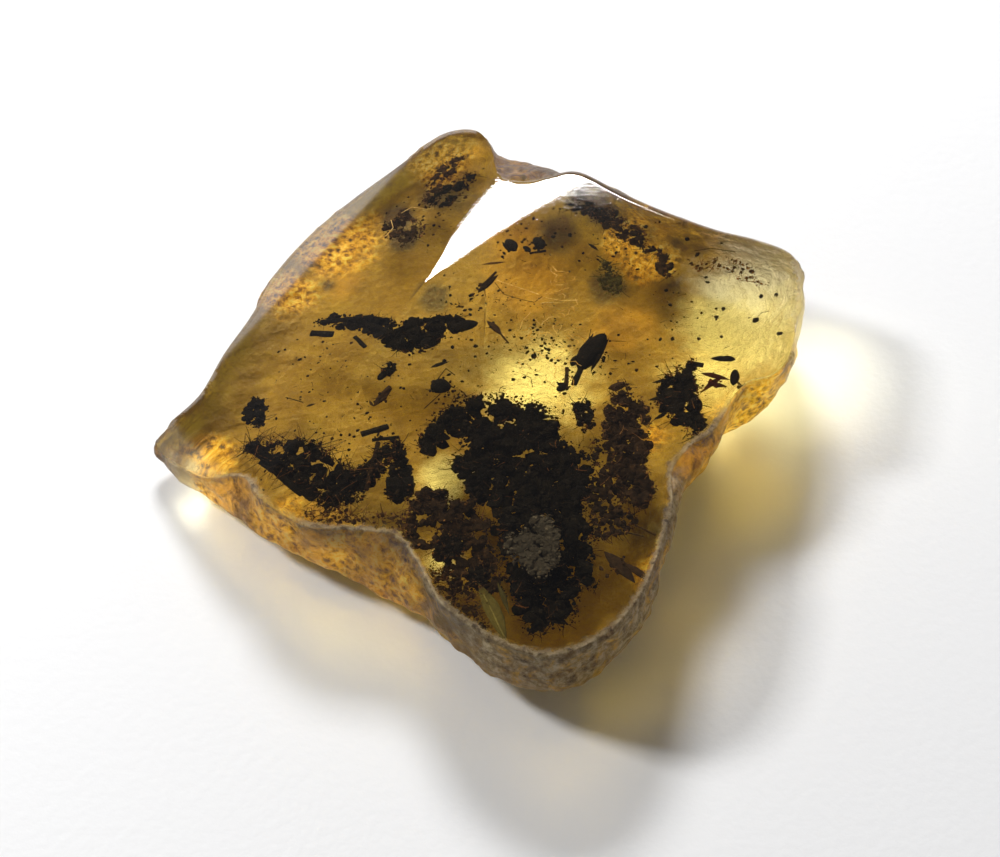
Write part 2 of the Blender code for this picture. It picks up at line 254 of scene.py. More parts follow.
world = bpy.data.worlds.new("pale_room")
scene.world = world
sky = Finish(world)
sky_place = sky.add("TexCoord", out=0)
height_in_sky = sky.add("SeparateXYZ", {}, {0: sky_place}, out=2)
behind = sky.add("SeparateXYZ", {}, {0: sky_place}, out=1).step(-0.2, 0.7)
glow = sky.ramp(height_in_sky, SKY_COLOURS)
strength = behind * (1 - LEAST_SKY) + LEAST_SKY
sky.output({"Surface": sky.add("Background", {}, {"Color": glow, "Strength": strength})})
print("sky:", len(SKY_COLOURS), "colours")

# %% [markdown]
# The shape of the stone comes from the same numbers as its CAD model: the outline seen from above, with
# the wall's flare and the height of its widest line at each station, and the ground facets.

# %% The stone's outline and facets
OUTLINE = [
    (-20.8, -3.9, 0.1, 1.5), (-19.8, -2.8, 0.0, 1.6), (-18.1, -0.6, 0.0, 1.8), (-16.9, 3.0, 0.0, 1.7),
    (-15.4, 6.6, 0.0, 1.5), (-14.2, 10.7, 0.0, 1.3), (-12.0, 14.4, 0.0, 1.3), (-9.2, 17.3, 0.0, 1.5),
    (-6.0, 19.9, 0.0, 1.8), (-3.2, 22.5, 0.0, 2.0), (-0.9, 22.5, 0.0, 2.2), (0.3, 20.5, 0.9, 2.8),
    (1.0, 17.0, 2.9, 3.6), (2.9, 16.2, 2.7, 4.0), (4.3, 16.5, 1.7, 4.2), (6.3, 16.8, 0.3, 4.2),
    (9.1, 14.7, 0.0, 4.0), (11.7, 12.9, 0.0, 4.2), (15.2, 10.9, 0.0, 4.5), (17.9, 9.8, 0.0, 4.8),
    (20.0, 8.4, 0.1, 5.0), (20.5, 6.1, 0.2, 5.2), (20.0, 2.9, 0.3, 5.3), (19.2, -0.2, 0.2, 5.3),
    (18.1, -1.9, 0.0, 5.2), (16.5, -2.5, 0.0, 4.4), (15.5, -3.6, 0.0, 5.0), (14.9, -5.0, 0.0, 5.6),
    (13.9, -6.6, 0.3, 5.8), (12.6, -7.6, 0.8, 5.9), (11.4, -9.5, 0.8, 5.9), (11.3, -12.0, 0.3, 5.9),
    (10.6, -14.6, 0.3, 5.5), (10.0, -16.5, 0.4, 5.2), (9.1, -18.6, 0.4, 4.9), (7.4, -20.9, 0.2, 4.4),
    (5.4, -22.2, 0.1, 4.0), (3.5, -22.6, 0.1, 3.8), (1.3, -21.8, 0.1, 3.8), (-0.7, -20.4, 0.0, 3.9),
    (-2.5, -18.7, 0.0, 4.0), (-3.4, -16.8, 0.2, 3.2), (-4.4, -14.9, 1.2, 2.2), (-5.6, -13.7, 1.6, 1.9),
    (-7.9, -13.3, 0.5, 2.0), (-10.3, -13.0, 0.0, 2.7), (-12.2, -11.8, 0.0, 2.7), (-13.8, -10.3, 0.3, 2.2),
    (-14.6, -8.9, 0.8, 2.0), (-16.7, -8.1, 0.0, 1.8), (-18.9, -6.3, 0.0, 1.7),
]
HEART = np.array((0.0, -1.0))
FOOT_SHARE = 0.70

# Each facet is a plane: its height at the origin, rise per mm of X, rise per mm of Y.
MAIN_FACE = (6.0, 0.045, -0.033)
LEFT_FACET = (11.52, 0.451, -0.282)
TIP_FACET = (18.2, 0.733, 0.214)

# The far facet bends away from the main face along a line that starts at the tip of the white wedge, and
# the bend is the wider the further it is from there.
BEND_TIP = np.array((-3.9, 6.8))
BEND_ANGLE = math.radians(60)
BEND_SLOPE = 0.2137
BEND_LEAST = 0.001
BEND_GROWTH = 0.076
CREASE_ROUNDING = 0.12


def on_facet(facet, x, y):
    return facet[0] + facet[1] * x + facet[2] * y


def soft_lower(first, second, rounding):
    """The lower of two heights, with a round bend where they meet."""
    overlap = np.maximum(rounding - np.abs(first - second), 0) / rounding
    return np.minimum(first, second) - overlap * overlap * rounding / 4


def polished_height(x, y):
    along = (x - BEND_TIP[0]) * math.cos(BEND_ANGLE) + (y - BEND_TIP[1]) * math.sin(BEND_ANGLE)
    beside = (y - BEND_TIP[1]) * math.cos(BEND_ANGLE) - (x - BEND_TIP[0]) * math.sin(BEND_ANGLE)
    main = on_facet(MAIN_FACE, x, y)
    rounding = BEND_LEAST + BEND_GROWTH * np.maximum(along, 0)
    surface = soft_lower(main, main - BEND_SLOPE * beside, rounding)
    surface = soft_lower(surface, on_facet(LEFT_FACET, x, y), CREASE_ROUNDING)
    return soft_lower(surface, on_facet(TIP_FACET, x, y), CREASE_ROUNDING)


def smooth_ring(rows, per_span):
    """More rows on a smooth closed curve through the given ones."""
    rows = np.array(rows)
    before, after, beyond = (np.roll(rows, -k, axis=0) for k in (-1, 1, 2))
    steps = []
    for step in range(per_span):
        t = step / per_span
        bent = after - before + t * (2 * before - 5 * rows + 4 * after - beyond
                                     + t * (3 * (rows - after) + beyond - before))
        steps.append(rows + 0.5 * t * bent)
    return np.stack(steps, axis=1).reshape(-1, rows.shape[1])


SPOKES_PER_SPAN = 11
stations = smooth_ring(OUTLINE, SPOKES_PER_SPAN)
print("stations round the stone:", len(stations))

# %% [markdown]
# The stone starts as a flat grid, like a sheet of clay, with one row of points for each level of the
# stone: flat foot, rounded flank, wall, and polished side. The rows are laid round the stone, and Merge by
# Distance closes the seam and the two ends. So the clear solid is watertight, which glass needs.

# %% The clear stone: from a sheet to the raw nodule
FOOT_RINGS = 6
FLANK_RINGS = 24
WALL_RINGS = 20
FACE_RINGS = 46
RIM_DROP = 0.09
RIM_INSET = 0.10
FAR_FROM_RIM = 9.0


def deselect_all():
    if bpy.context.object and bpy.context.object.mode != "OBJECT":
        bpy.ops.object.mode_set(mode="OBJECT")
    bpy.ops.object.select_all(action="DESELECT")


def points_of(mesh):
    flat = np.zeros(len(mesh.vertices) * 3)
    mesh.vertices.foreach_get("co", flat)
    return flat.reshape(-1, 3)


def set_points(mesh, points):
    mesh.vertices.foreach_set("co", np.ascontiguousarray(points).ravel())
    mesh.update()


def spoke_points(level):
    """The ring of points at a level, counted from the underside's middle.

    For each: where it is, how high, how raw, how much of the wall, and how many mm from the rim."""
    away = stations[:, :2] - HEART
    reach = np.linalg.norm(away, axis=1, keepdims=True)
    unit = away / reach
    flare, girth = stations[:, 2:3], stations[:, 3:4]
    foot = reach * FOOT_SHARE
    rim_height = polished_height(stations[:, 0], stations[:, 1])[:, None]
    far_off = FAR_FROM_RIM + 0 * reach
    if level <= FOOT_RINGS:
        return HEART + unit * foot * level / FOOT_RINGS, 0 * reach, 1.0, 0.0, far_off
    level -= FOOT_RINGS
    if level <= FLANK_RINGS:
        angle = math.pi / 2 * level / FLANK_RINGS
        outward = foot + (reach + flare - foot) * math.sin(angle)
        wall = max(0.0, level / FLANK_RINGS * 4 - 3)
        return HEART + unit * outward, girth * (1 - math.cos(angle)), 1.0, wall, far_off
    level -= FLANK_RINGS
    if level <= WALL_RINGS:
        share = level / WALL_RINGS
        outward = reach + flare * (1 - share * share)
        top = rim_height - RIM_DROP
        raw = 1.0 if level < WALL_RINGS else 0.5
        return HEART + unit * outward, girth + (top - girth) * share, raw, 1.0, (top - girth) * (1 - share)
    level -= WALL_RINGS
    inner = reach - RIM_INSET
    spot = HEART + unit * inner * (1 - (level - 1) / FACE_RINGS)
    from_rim = RIM_INSET + inner * (level - 1) / FACE_RINGS
    return spot, polished_height(spot[:, 0], spot[:, 1])[:, None], 0.0, 0.0, from_rim


levels = FOOT_RINGS + FLANK_RINGS + WALL_RINGS + FACE_RINGS + 2
deselect_all()
bpy.ops.mesh.primitive_grid_add(x_subdivisions=len(stations), y_subdivisions=levels - 1, size=2.0)
stone = bpy.context.object
stone.name = "clear_amber"
sheet_points = points_of(stone.data)
spoke = np.rint((sheet_points[:, 0] + 1) / 2 * len(stations)).astype(int) % len(stations)
level_of = np.rint((sheet_points[:, 1] + 1) / 2 * (levels - 1)).astype(int)
shaped = np.zeros_like(sheet_points)
raw, wall, from_rim = (np.zeros(len(sheet_points)) for _ in range(3))
for level in range(levels):
    here = level_of == level
    if level == levels - 1:
        shaped[here] = (*HEART, on_facet(MAIN_FACE, *HEART))
        from_rim[here] = FAR_FROM_RIM
        continue
    spots, heights, rawness, walled, away = spoke_points(level)
    shaped[here, :2] = spots[spoke[here]]
    shaped[here, 2:] = heights[spoke[here]]
    raw[here] = rawness
    wall[here] = walled
    from_rim[here] = away[spoke[here], 0]
set_points(stone.data, shaped * MM)
for name, values in (("rind", raw), ("wall", wall), ("from_rim", from_rim)):
    stone.data.attributes.new(name, "FLOAT", "POINT").data.foreach_set("value", values)
bpy.ops.object.mode_set(mode="EDIT")
bpy.ops.mesh.select_all(action="SELECT")
bpy.ops.mesh.remove_doubles(threshold=1e-7)
bpy.ops.mesh.normals_make_consistent(inside=False)
bpy.ops.object.mode_set(mode="OBJECT")
print("stone:", len(stone.data.polygons), "faces")

# %% [markdown]
# Where two facets meet in a crease, the mesh needs edges along it, or the reflection there would have
# teeth. The bisect tool cuts such edges in, a few side by side, and then the polished points are put back
# on the facets, which rounds the crease a little, as polishing does.

# %% Crease lines
CREASE_STEPS = (-0.24, -0.12, 0.0, 0.12, 0.24)
BEND_STEPS = CREASE_STEPS + (-0.02, 0.02)
ON_THE_BEND = 0.004
SHARP_UP_TO = 0.3


def crease(first, second):
    """The upright plane over the line where two facets meet: a point of it and its direction."""
    level, along_x, along_y = (a - b for a, b in zip(first, second))
    length = math.hypot(along_x, along_y)
    across = Vector((along_x / length, along_y / length, 0))
    return across * (-level / length), across


bend_across = Vector((math.sin(BEND_ANGLE), -math.cos(BEND_ANGLE), 0))
tip_across = bend_across.x * BEND_TIP[0] + bend_across.y * BEND_TIP[1]
far_facet = (MAIN_FACE[0] - BEND_SLOPE * tip_across,
             MAIN_FACE[1] + BEND_SLOPE * bend_across.x,
             MAIN_FACE[2] + BEND_SLOPE * bend_across.y)
for first, second, steps in (
        (LEFT_FACET, MAIN_FACE, CREASE_STEPS), (LEFT_FACET, far_facet, CREASE_STEPS),
        (TIP_FACET, LEFT_FACET, CREASE_STEPS), (TIP_FACET, MAIN_FACE, CREASE_STEPS),
        (MAIN_FACE, far_facet, BEND_STEPS)):
    point, across = crease(first, second)
    for step in steps:
        bpy.ops.object.mode_set(mode="EDIT")
        bpy.ops.mesh.select_all(action="SELECT")
        bpy.ops.mesh.bisect(
            plane_co=(point + across * step) * MM, plane_no=across, use_fill=False, threshold=1e-7)
        bpy.ops.object.mode_set(mode="OBJECT")

points = points_of(stone.data)
raw = np.zeros(len(points))
stone.data.attributes["rind"].data.foreach_get("value", raw)
polished = raw < 0.01
x, y = points[polished, 0] / MM, points[polished, 1] / MM
points[polished, 2] = polished_height(x, y) * MM
set_points(stone.data, points)

# Short of the wedge's tip the bend is a sharp line.
ends = np.zeros(len(stone.data.edges) * 2, dtype=int)
stone.data.edges.foreach_get("vertices", ends)
ends = ends.reshape(-1, 2)
from_tip = points[ends, :2] / MM - BEND_TIP
along = from_tip @ (math.cos(BEND_ANGLE), math.sin(BEND_ANGLE))
beside = from_tip @ (-math.sin(BEND_ANGLE), math.cos(BEND_ANGLE))
sharp = (np.abs(beside).max(axis=1) < ON_THE_BEND) & (along.max(axis=1) < SHARP_UP_TO)
sharp &= polished[ends].all(axis=1)
stone.data.attributes.new("sharp_edge", "BOOLEAN", "EDGE").data.foreach_set("value", sharp)
print("sharp edges at the bend:", int(sharp.sum()))
print("stone after the creases:", len(stone.data.polygons), "faces")

# %% [markdown]
# The raw sides are lumpy, pitted and grainy. Displace modifiers push their points in and out by cloud
# textures of three sizes, and a vertex group keeps the polished side out of it. A point that would go
# through the paper is put back on it, so that the stone still stands on its flat foot.

# %% Raw sides
RAW_RELIEF = (("lumps", "CLOUDS", 2.6, 0.55), ("pits", "STUCCI", 0.9, 0.22), ("grain", "CLOUDS", 0.35, 0.09))

stone.vertex_groups.new(name="raw_sides").add(np.nonzero(raw > 0.6)[0].tolist(), 1.0, "REPLACE")
for name, kind, size, depth in RAW_RELIEF:
    texture = bpy.data.textures.new(name, kind)
    texture.noise_scale = size * MM
    relief = stone.modifiers.new(name, "DISPLACE")
    relief.texture = texture
    relief.texture_coords = "LOCAL"
    relief.strength = depth * MM
    relief.vertex_group = "raw_sides"
    bpy.ops.object.modifier_apply(modifier=name)
points = points_of(stone.data)
points[:, 2] = np.maximum(points[:, 2], 0)
set_points(stone.data, points)
bpy.ops.object.shade_smooth_by_angle(angle=math.radians(50))
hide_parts("amber_upper", "amber_lower")
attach(stone, "root")
print("raw points:", int((raw > 0.6).sum()))

# %% [markdown]
# The raw crust is olive, with orange and umber patches, and its gold patches are painted glints of light off
# small cracks. It is thin or missing in a few places, where the white paper shines through. The patches are
# given as soft round spots. How near each point of the stone is to them is kept in its mesh, and a cloudy
# noise then frays the patches' edges.

# %% Patches of the crust
# Each spot: x and y in mm, radius, and softness of the edge.
CLEAR_SPOTS = (
    (3.4, 0.6, 1.3, 4.8), (17.6, 5.4, 3.4, 3.2), (-2.2, -7.2, 1.0, 2.0), (-2.6, -13.4, 0.2, 1.8),
    (-18.6, -5.4, 0.9, 1.3), (14.6, 1.0, 0.4, 4.0),
)
ORANGE_SPOTS = (
    (-9.0, 9.8, 0.5, 1.6), (9.2, 5.0, 1.2, 1.8), (-2.5, 20.8, 1.6, 2.0), (3.0, 9.0, 1.4, 2.4),
    (11.0, 12.0, 1.5, 2.0), (-9.5, 13.0, 0.8, 2.4), (-10.0, -10.5, 1.2, 1.6), (-14.6, -8.6, 0.6, 1.2),
    (2.0, 13.0, 1.0, 2.0),
)
DARK_SPOTS = (
    (10.4, 13.0, 0.6, 1.4), (12.8, 11.4, 0.5, 1.2), (-2.4, 17.6, 1.0, 1.6), (-5.0, 13.4, 0.7, 1.0),
    (8.3, 8.4, 0.8, 1.2), (8.6, 14.8, 0.8, 1.4), (-3.0, 8.0, 0.6, 1.2), (-5.6, 15.6, 0.7, 1.2),
    (-1.8, 20.0, 0.4, 1.0), (7.0, 16.0, 0.5, 1.2), (14.6, 11.6, 0.6, 1.2), (-10.2, 9.6, 0.2, 0.7),
    (12.6, 8.6, 0.3, 1.2), (10.5, -12.0, 0.6, 1.5), (-8.5, 13.8, 0.2, 1.2), (5.0, 13.5, 0.6, 1.6),
    (-6.5, -12.6, 1.0, 1.2),
)
# Gold spots are painted glints: bright gold where small cracks would catch the light.
GLINT_SPOTS = (
    (-17.4, -5.6, 1.6, 1.6), (-12.2, -11.0, 1.6, 1.4), (-8.4, -13.2, 0.8, 1.2), (-5.4, -14.8, 1.8, 1.4),
    (11.0, 10.6, 1.0, 1.4), (16.8, -3.0, 1.2, 1.6), (-10.0, 13.6, 1.8, 2.4), (-3.0, 20.6, 1.2, 1.6),
    (10.8, -4.0, 0.3, 1.2), (10.4, -15.0, 0.6, 1.4), (-13.0, 9.0, 1.0, 2.2), (9.6, 12.6, 0.8, 1.2),
)
FROSTED_RIM = (
    (5.0, -21.0, 6.5, 3.0), (-3.5, -16.5, 2.5, 2.5), (-8.0, -12.8, 2.0, 3.0), (11.2, -13.0, 3.4, 3.0),
    (13.5, -6.5, 1.6, 2.0), (-14.5, -9.0, 1.0, 2.5), (20.4, 5.0, 1.5, 2.0),
)
FROSTED_WALL = (
    (5.5, -21.5, 5.5, 3.0), (11.4, -13.0, 2.0, 3.0),
)
PALE_LOBE = ((17.0, 4.0, 4.0, 4.0),)

finish = new_finish("amber")
place = finish.place()
rind = finish.attribute("rind")
wall = finish.attribute("wall")
from_rim = finish.attribute("from_rim")
coarse = finish.noise(place, 2.2, detail=5, roughness=0.65)
fine = finish.noise(place, 0.35, detail=4, roughness=0.7)


def closeness(spots):
    """For each point of the stone: 1 or more in a spot, 0 where its soft edge ends, and less further out."""
    x, y = points_of(stone.data).T[:2] / MM
    best = np.full(len(x), -1.0)
    for spot_x, spot_y, radius, softness in spots:
        away = np.hypot(x - spot_x, y - spot_y)
        best = np.maximum(best, 1 - (away - radius) / softness)
    return np.minimum(best, 1.5)


def patch(name, spots, wobble=2.2):
    """A mask of the spots, kept as an attribute of the stone, with a cloudy edge."""
    stone.data.attributes.new(name, "FLOAT", "POINT").data.foreach_set("value", closeness(spots))
    return (finish.attribute(name) + (coarse - 0.5) * wobble).step(0.0, 1.0)


clear_spots = patch("clear_spots", CLEAR_SPOTS, 1.2)
orange_spots = patch("orange_spots", ORANGE_SPOTS)
dark_spots = patch("dark_spots", DARK_SPOTS)
gold_spots = patch("gold_spots", GLINT_SPOTS)
frosted_rim = patch("frosted_rim", FROSTED_RIM, 0.0)
frosted_wall = patch("frosted_wall", FROSTED_WALL, 1.0)
pale_lobe = patch("pale_lobe", PALE_LOBE, 0.0)
print("patches:", sum(len(spots) for spots in (CLEAR_SPOTS, ORANGE_SPOTS, DARK_SPOTS, GLINT_SPOTS)))

# %% [markdown]
# The colours of the crust come from noise of three sizes through colour ramps, and the bright gold flecks
# are painted glints of small cracks. The open wall at the front has its own brown and gold, with the same
# painted glints, and its worn upper edge is a grey frost.

# %% Colours of the crust
mottle = (coarse * 0.7 + fine * 0.3 - 0.5) * 1.8 + 0.5
olive = finish.ramp(mottle, [(0.1, (0.17, 0.08, 0.001)), (0.5, (0.30, 0.165, 0.002)),
                             (0.9, (0.46, 0.29, 0.008))])
orange = finish.ramp(mottle, [(0.1, (0.26, 0.10, 0.002)), (0.9, (0.68, 0.38, 0.012))])
umber = finish.ramp(mottle, [(0.2, (0.012, 0.004, 0.001)), (0.9, (0.10, 0.036, 0.004))])
crackle = finish.cells(place, 0.5)
# Painted glint: bright gold flecks of cells and noise where small cracks would catch the light.
glint_chips = finish.noise(place, 0.4, detail=4, roughness=0.72, distortion=0.6) * 0.75 + crackle * 0.25
painted_glint = finish.ramp(glint_chips, [(0.36, (0.04, 0.012, 0.001)), (0.45, (0.40, 0.16, 0.004)),
                                   (0.53, (0.90, 0.46, 0.008)), (0.64, (1.0, 0.78, 0.14))])
frost_grain = finish.noise(place, 0.5, detail=6, roughness=0.75)
frost = finish.ramp(frost_grain, [(0.36, (0.05, 0.028, 0.008)), (0.48, (0.26, 0.18, 0.075)),
                                  (0.62, (0.58, 0.47, 0.27))])
crust_colour = finish.blend(orange_spots, olive, orange)
crust_colour = finish.blend(dark_spots, crust_colour, umber)
# Painted glints of small cracks on the crust.
crust_colour = finish.blend(gold_spots, crust_colour, painted_glint)
wall_patches = finish.noise(place, 1.5, detail=6, roughness=0.72, distortion=1.0)
wall_colour = finish.ramp(wall_patches, [(0.38, (0.02, 0.006, 0.001)), (0.45, (0.18, 0.065, 0.002)),
                                         (0.54, (0.60, 0.26, 0.003)), (0.66, (1.0, 0.56, 0.02))])
# The same painted glints on the open wall.
wall_colour = finish.blend(gold_spots, wall_colour, painted_glint)
wall_shade = 1 - finish.noise(place, 3.6, detail=4, roughness=0.6, distortion=0.8).step(0.42, 0.52)
wall_colour = finish.blend(wall_shade * (1 - gold_spots * 0.5) * 0.8, wall_colour, umber)
crust_colour = finish.blend(wall * 0.75, crust_colour, wall_colour)
frost_share = frosted_wall * wall * (0.95 - wall_patches.step(0.5, 0.6) * 0.6)
crust_colour = finish.blend(frost_share, crust_colour, frost)
worn_edge = 1 - (from_rim + (frost_grain - 0.5) * 1.6).step(0.2, 0.65)
worn_edge = worn_edge * (frosted_rim * 0.9 + 0.1)
crust_colour = finish.blend(worn_edge, crust_colour, frost)
print("crust colours:", len(finish.tree.nodes), "nodes so far")

# %% [markdown]
# Amber is glass-like: light goes through it, and more blue than red is lost on the way, which is what the
# volume does. The polished side is plain clear glass with faint scratches, and the raw sides are rough
# under their crust. For shadow rays the clear skin counts as open, so that the lamps reach the inside.

# %% Amber finish
AMBER_IOR = 1.54
AMBER_COLOUR = (0.915, 0.79, 0.06)
AMBER_DENSITY = 120.0

scratches = finish.noise(finish.moved(place, turned=(0, 0, 0.6), scale=(1, 14, 1)), 2.5, detail=4)
polish = finish.add("BsdfPrincipled", {}, {
    "Base Color": (1, 1, 1, 1), "Roughness": 0.035, "IOR": AMBER_IOR, "Transmission Weight": 1.0,
    "Normal": finish.bump(scratches, 0.0015)})
grain = finish.noise(place, 0.22, detail=5, roughness=0.75)
crust = finish.add("BsdfPrincipled", {}, {
    "Base Color": crust_colour, "Roughness": 0.4, "IOR": AMBER_IOR, "Transmission Weight": 0.35,
    "Specular IOR Level": 0.12,
    "Normal": finish.bump(grain * 0.6 + crackle * 0.4, 0.2)})
frosted_glass = finish.add("BsdfPrincipled", {}, {
    "Base Color": finish.blend(clear_spots, wall_colour, (1.0, 1.0, 0.95)), "Roughness": 0.3,
    "IOR": AMBER_IOR, "Transmission Weight": 1.0,
    "Normal": finish.bump(grain * 0.6 + crackle * 0.4, 0.2)})
open_wall = wall * (1 - frosted_wall * 0.8) * wall_patches.step(0.36, 0.5) * 0.85
see_through = (clear_spots * 0.95 + open_wall).clamped()
raw_share = (rind + worn_edge).clamped()
skin = finish.mixed(raw_share, polish, finish.mixed(see_through, crust, frosted_glass))
let_through = clear_spots * (1 - wall) * (0.92 - pale_lobe * 0.5) + open_wall * 0.12
lets_lamps_in = 1 - raw_share * (1 - let_through).clamped()
shadow_ray = finish.add("LightPath", out=1)
opened = finish.mixed(shadow_ray * lets_lamps_in, skin, finish.add("BsdfTransparent"))
inside_stone = finish.add("VolumeAbsorption", {}, {"Color": (*AMBER_COLOUR, 1.0), "Density": AMBER_DENSITY})
finish.output({"Surface": opened, "Volume": inside_stone})
stone.data.materials.clear()
stone.data.materials.append(finish.owner)
print("amber finish:", len(finish.tree.nodes), "nodes")

# %% [markdown]
# The debris is a mat of bark, soil and leaf crumbs. It could be one lump with a bump texture, but its
# edge against the bright amber is what the eye sees, and that edge is made of single chips, crumbs and
# fibres. So seven small shapes are modelled one by one, and each sealed piece is a heap of their copies.

# %% Small shapes: chip, crumb, fibre, blade, stick, bud, pin


def take_shape(thing):
    """The points and triangles of a small shape, which is then deleted."""
    mesh = thing.data
    mesh.calc_loop_triangles()
    corners = np.zeros(len(mesh.loop_triangles) * 3, dtype=int)
    mesh.loop_triangles.foreach_get("vertices", corners)
    shape = points_of(mesh).copy(), corners.reshape(-1, 3).copy()
    bpy.data.objects.remove(thing, do_unlink=True)
    return shape


def broken_ball(jitter, cuts, seed):
    """A ball knocked out of shape, with flat broken faces where the cuts are."""
    deselect_all()
    bpy.ops.mesh.primitive_ico_sphere_add(subdivisions=1, radius=0.5)
    thing = bpy.context.object
    bpy.ops.object.mode_set(mode="EDIT")
    bpy.ops.mesh.select_all(action="SELECT")
    bpy.ops.transform.vertex_random(offset=jitter, seed=seed)
    for cut in cuts:
        bpy.ops.mesh.select_all(action="SELECT")
        bpy.ops.mesh.bisect(plane_co=Vector(cut) * 0.3, plane_no=cut, use_fill=True, clear_outer=True)
    bpy.ops.object.mode_set(mode="OBJECT")
    return take_shape(thing)


def grown(rings, sides):
    """A closed shape grown from a small disc: for each ring how far along X, how far aside, and how wide."""
    deselect_all()
    along, aside, width = rings[0]
    bpy.ops.mesh.primitive_circle_add(vertices=sides, radius=width / 2, fill_type="NGON",
                                      location=(along, aside, 0), rotation=(0, math.radians(90), 0))
    thing = bpy.context.object
    bpy.ops.object.transform_apply(location=True, rotation=True, scale=True)
    bpy.ops.object.mode_set(mode="EDIT")
    bpy.ops.mesh.select_all(action="SELECT")
    for before, after in zip(rings, rings[1:]):
        move = (after[0] - before[0], after[1] - before[1], 0)
        bpy.ops.mesh.extrude_region_move(TRANSFORM_OT_translate={"value": move})
        bpy.ops.transform.resize(value=(1, after[2] / before[2], after[2] / before[2]))
    bpy.ops.mesh.select_all(action="SELECT")
    bpy.ops.mesh.normals_make_consistent(inside=False)
    bpy.ops.object.mode_set(mode="OBJECT")
    return take_shape(thing)


def bent_fibre(bend):
    """A thin tapering strand that sways sideways."""
    return grown([(k / 5, bend * math.sin(0.48 * k) / 5 * 0.6, 0.85 ** k) for k in range(6)], 3)


chips = [broken_ball(0.12, ((0.6, 0.5, 0.2), (-0.7, 0.3, -0.2)), 3),
         broken_ball(0.16, ((-0.5, 0.7, 0.1), (0.2, -0.8, 0.3)), 8),
         broken_ball(0.14, ((0.7, -0.4, 0.1), (0.1, 0.8, -0.4)), 12)]
crumbs = [broken_ball(0.16, (), 1), broken_ball(0.2, (), 5), broken_ball(0.18, (), 9)]
fibres_made = [bent_fibre(3.0), bent_fibre(-9.0), bent_fibre(16.0)]
BLADE = grown([(0, 0, 0.06), (0.14, 0.02, 0.5), (0.36, 0.06, 0.95), (0.62, 0.04, 0.9), (0.84, -0.02, 0.45),
               (1, -0.08, 0.05)], 8)
STICK = grown([(0, 0, 0.7), (0.02, 0, 0.95), (0.3, 0.03, 0.85), (0.65, -0.03, 1.0), (0.98, 0, 0.9),
               (1, 0, 0.6)], 7)
BUD = grown([(0, 0, 0.2), (0.06, 0, 0.5), (0.22, 0.02, 0.86), (0.45, 0.05, 1.0), (0.7, 0.02, 0.92),
             (0.88, -0.03, 0.6), (0.97, -0.04, 0.3), (1, -0.04, 0.1)], 14)
PIN = grown([(0, 0, 0.5), (0.03, 0, 1.0), (0.09, 0, 1.0), (0.12, 0, 0.45), (0.6, 0.0, 0.3),
             (1, 0.01, 0.1)], 5)
for name, shape in (("blade", BLADE), ("stick", STICK), ("bud", BUD), ("pin", PIN)):
    print(name, len(shape[1]), "triangles")

# %% [markdown]
# A heap takes a shape and lays many turned, stretched copies of it at given places, and at the end makes
# one mesh of them all. Each copy also carries a tone from 0 to 1, from which the finish takes its colour.

# %% Heaps of small shapes


class Heap:
    """Many copies of small shapes, gathered into one piece."""

    def __init__(self, seed):
        self.rng = np.random.default_rng(seed)
        self.points, self.faces, self.tones, self.count = [], [], [], 0

    def add(self, shape, places, frames, tones):
        """One copy for each place. A frame has the copy's three sides as its columns."""
        points, faces = shape
        copies = np.einsum("nij,vj->nvi", frames, points) + places[:, None, :]
        starts = self.count + np.arange(len(places)) * len(points)
        self.points.append(copies.reshape(-1, 3))
        self.faces.append((faces[None] + starts[:, None, None]).reshape(-1, 3))
        self.tones.append(np.repeat(tones, len(points)))
        self.count += len(places) * len(points)

    def scatter(self, shapes, places, sizes, flatness, tilt, tones):
        """Copies of the shapes in turn, lying about level, each turned its own way."""
        frames = turned(self.rng, len(places), tilt)
        stretch = np.stack([self.rng.uniform(0.75, 1.3, len(places)), self.rng.uniform(0.6, 1.0, len(places)),
                            self.rng.uniform(0.6, 1.2, len(places)) * flatness], axis=1)
        frames = frames * (stretch * sizes[:, None])[:, None, :]
        for k, shape in enumerate(shapes):
            mine = np.arange(len(places)) % len(shapes) == k
            if mine.any():
                self.add(shape, places[mine], frames[mine], tones[mine])

    def strands(self, places, headings, lengths, widths, tones, rise=0.25):
        """Fibres that start at the places and run in the headings."""
        count = len(places)
        climb = self.rng.normal(0, rise, count)
        ahead = np.stack([np.cos(headings), np.sin(headings), climb], axis=1)
        ahead /= np.linalg.norm(ahead, axis=1, keepdims=True)
        beside = np.stack([-np.sin(headings), np.cos(headings), 0 * headings], axis=1)
        above = np.cross(ahead, beside)
        across = widths[:, None]
        frames = np.stack([ahead * lengths[:, None], beside * across, above * across], axis=2)
        for k, shape in enumerate(fibres_made):
            mine = np.arange(count) % len(fibres_made) == k
            if mine.any():
                self.add(shape, places[mine], frames[mine], tones[mine])

    def laid(self, shape, start, end, width, thick, level, tone):
        """One copy of a shape of unit length, from start to end, level mm beside the debris plane."""
        ends = lifted(np.array([start, end], dtype=float), np.array([level, level]))
        ahead = ends[1] - ends[0]
        beside = np.cross((0, 0, 1), ahead)
        beside /= np.linalg.norm(beside)
        above = np.cross(ahead, beside)
        above /= np.linalg.norm(above)
        frame = np.stack([ahead, beside * width, above * thick], axis=1)
        self.add(shape, ends[:1], frame[None], np.array([tone]))

    def thread(self, spots, width, level, tone):
        """A thin strand through all the spots."""
        for start, end in zip(spots, spots[1:]):
            self.laid(STICK, start, end, width, width, level, tone)

    def finish(self, name, material, slot, nodes=()):
        mesh = bpy.data.meshes.new(name)
        mesh.from_pydata(np.concatenate(self.points) * MM, [], np.concatenate(self.faces).tolist())
        mesh.attributes.new("tone", "FLOAT", "POINT").data.foreach_set("value", np.concatenate(self.tones))
        mesh.materials.append(material)
        piece = bpy.data.objects.new(name, mesh)
        bpy.context.scene.collection.objects.link(piece)
        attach(piece, "root")
        if nodes:
            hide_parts(*nodes)
        print(name, len(mesh.polygons), "triangles")


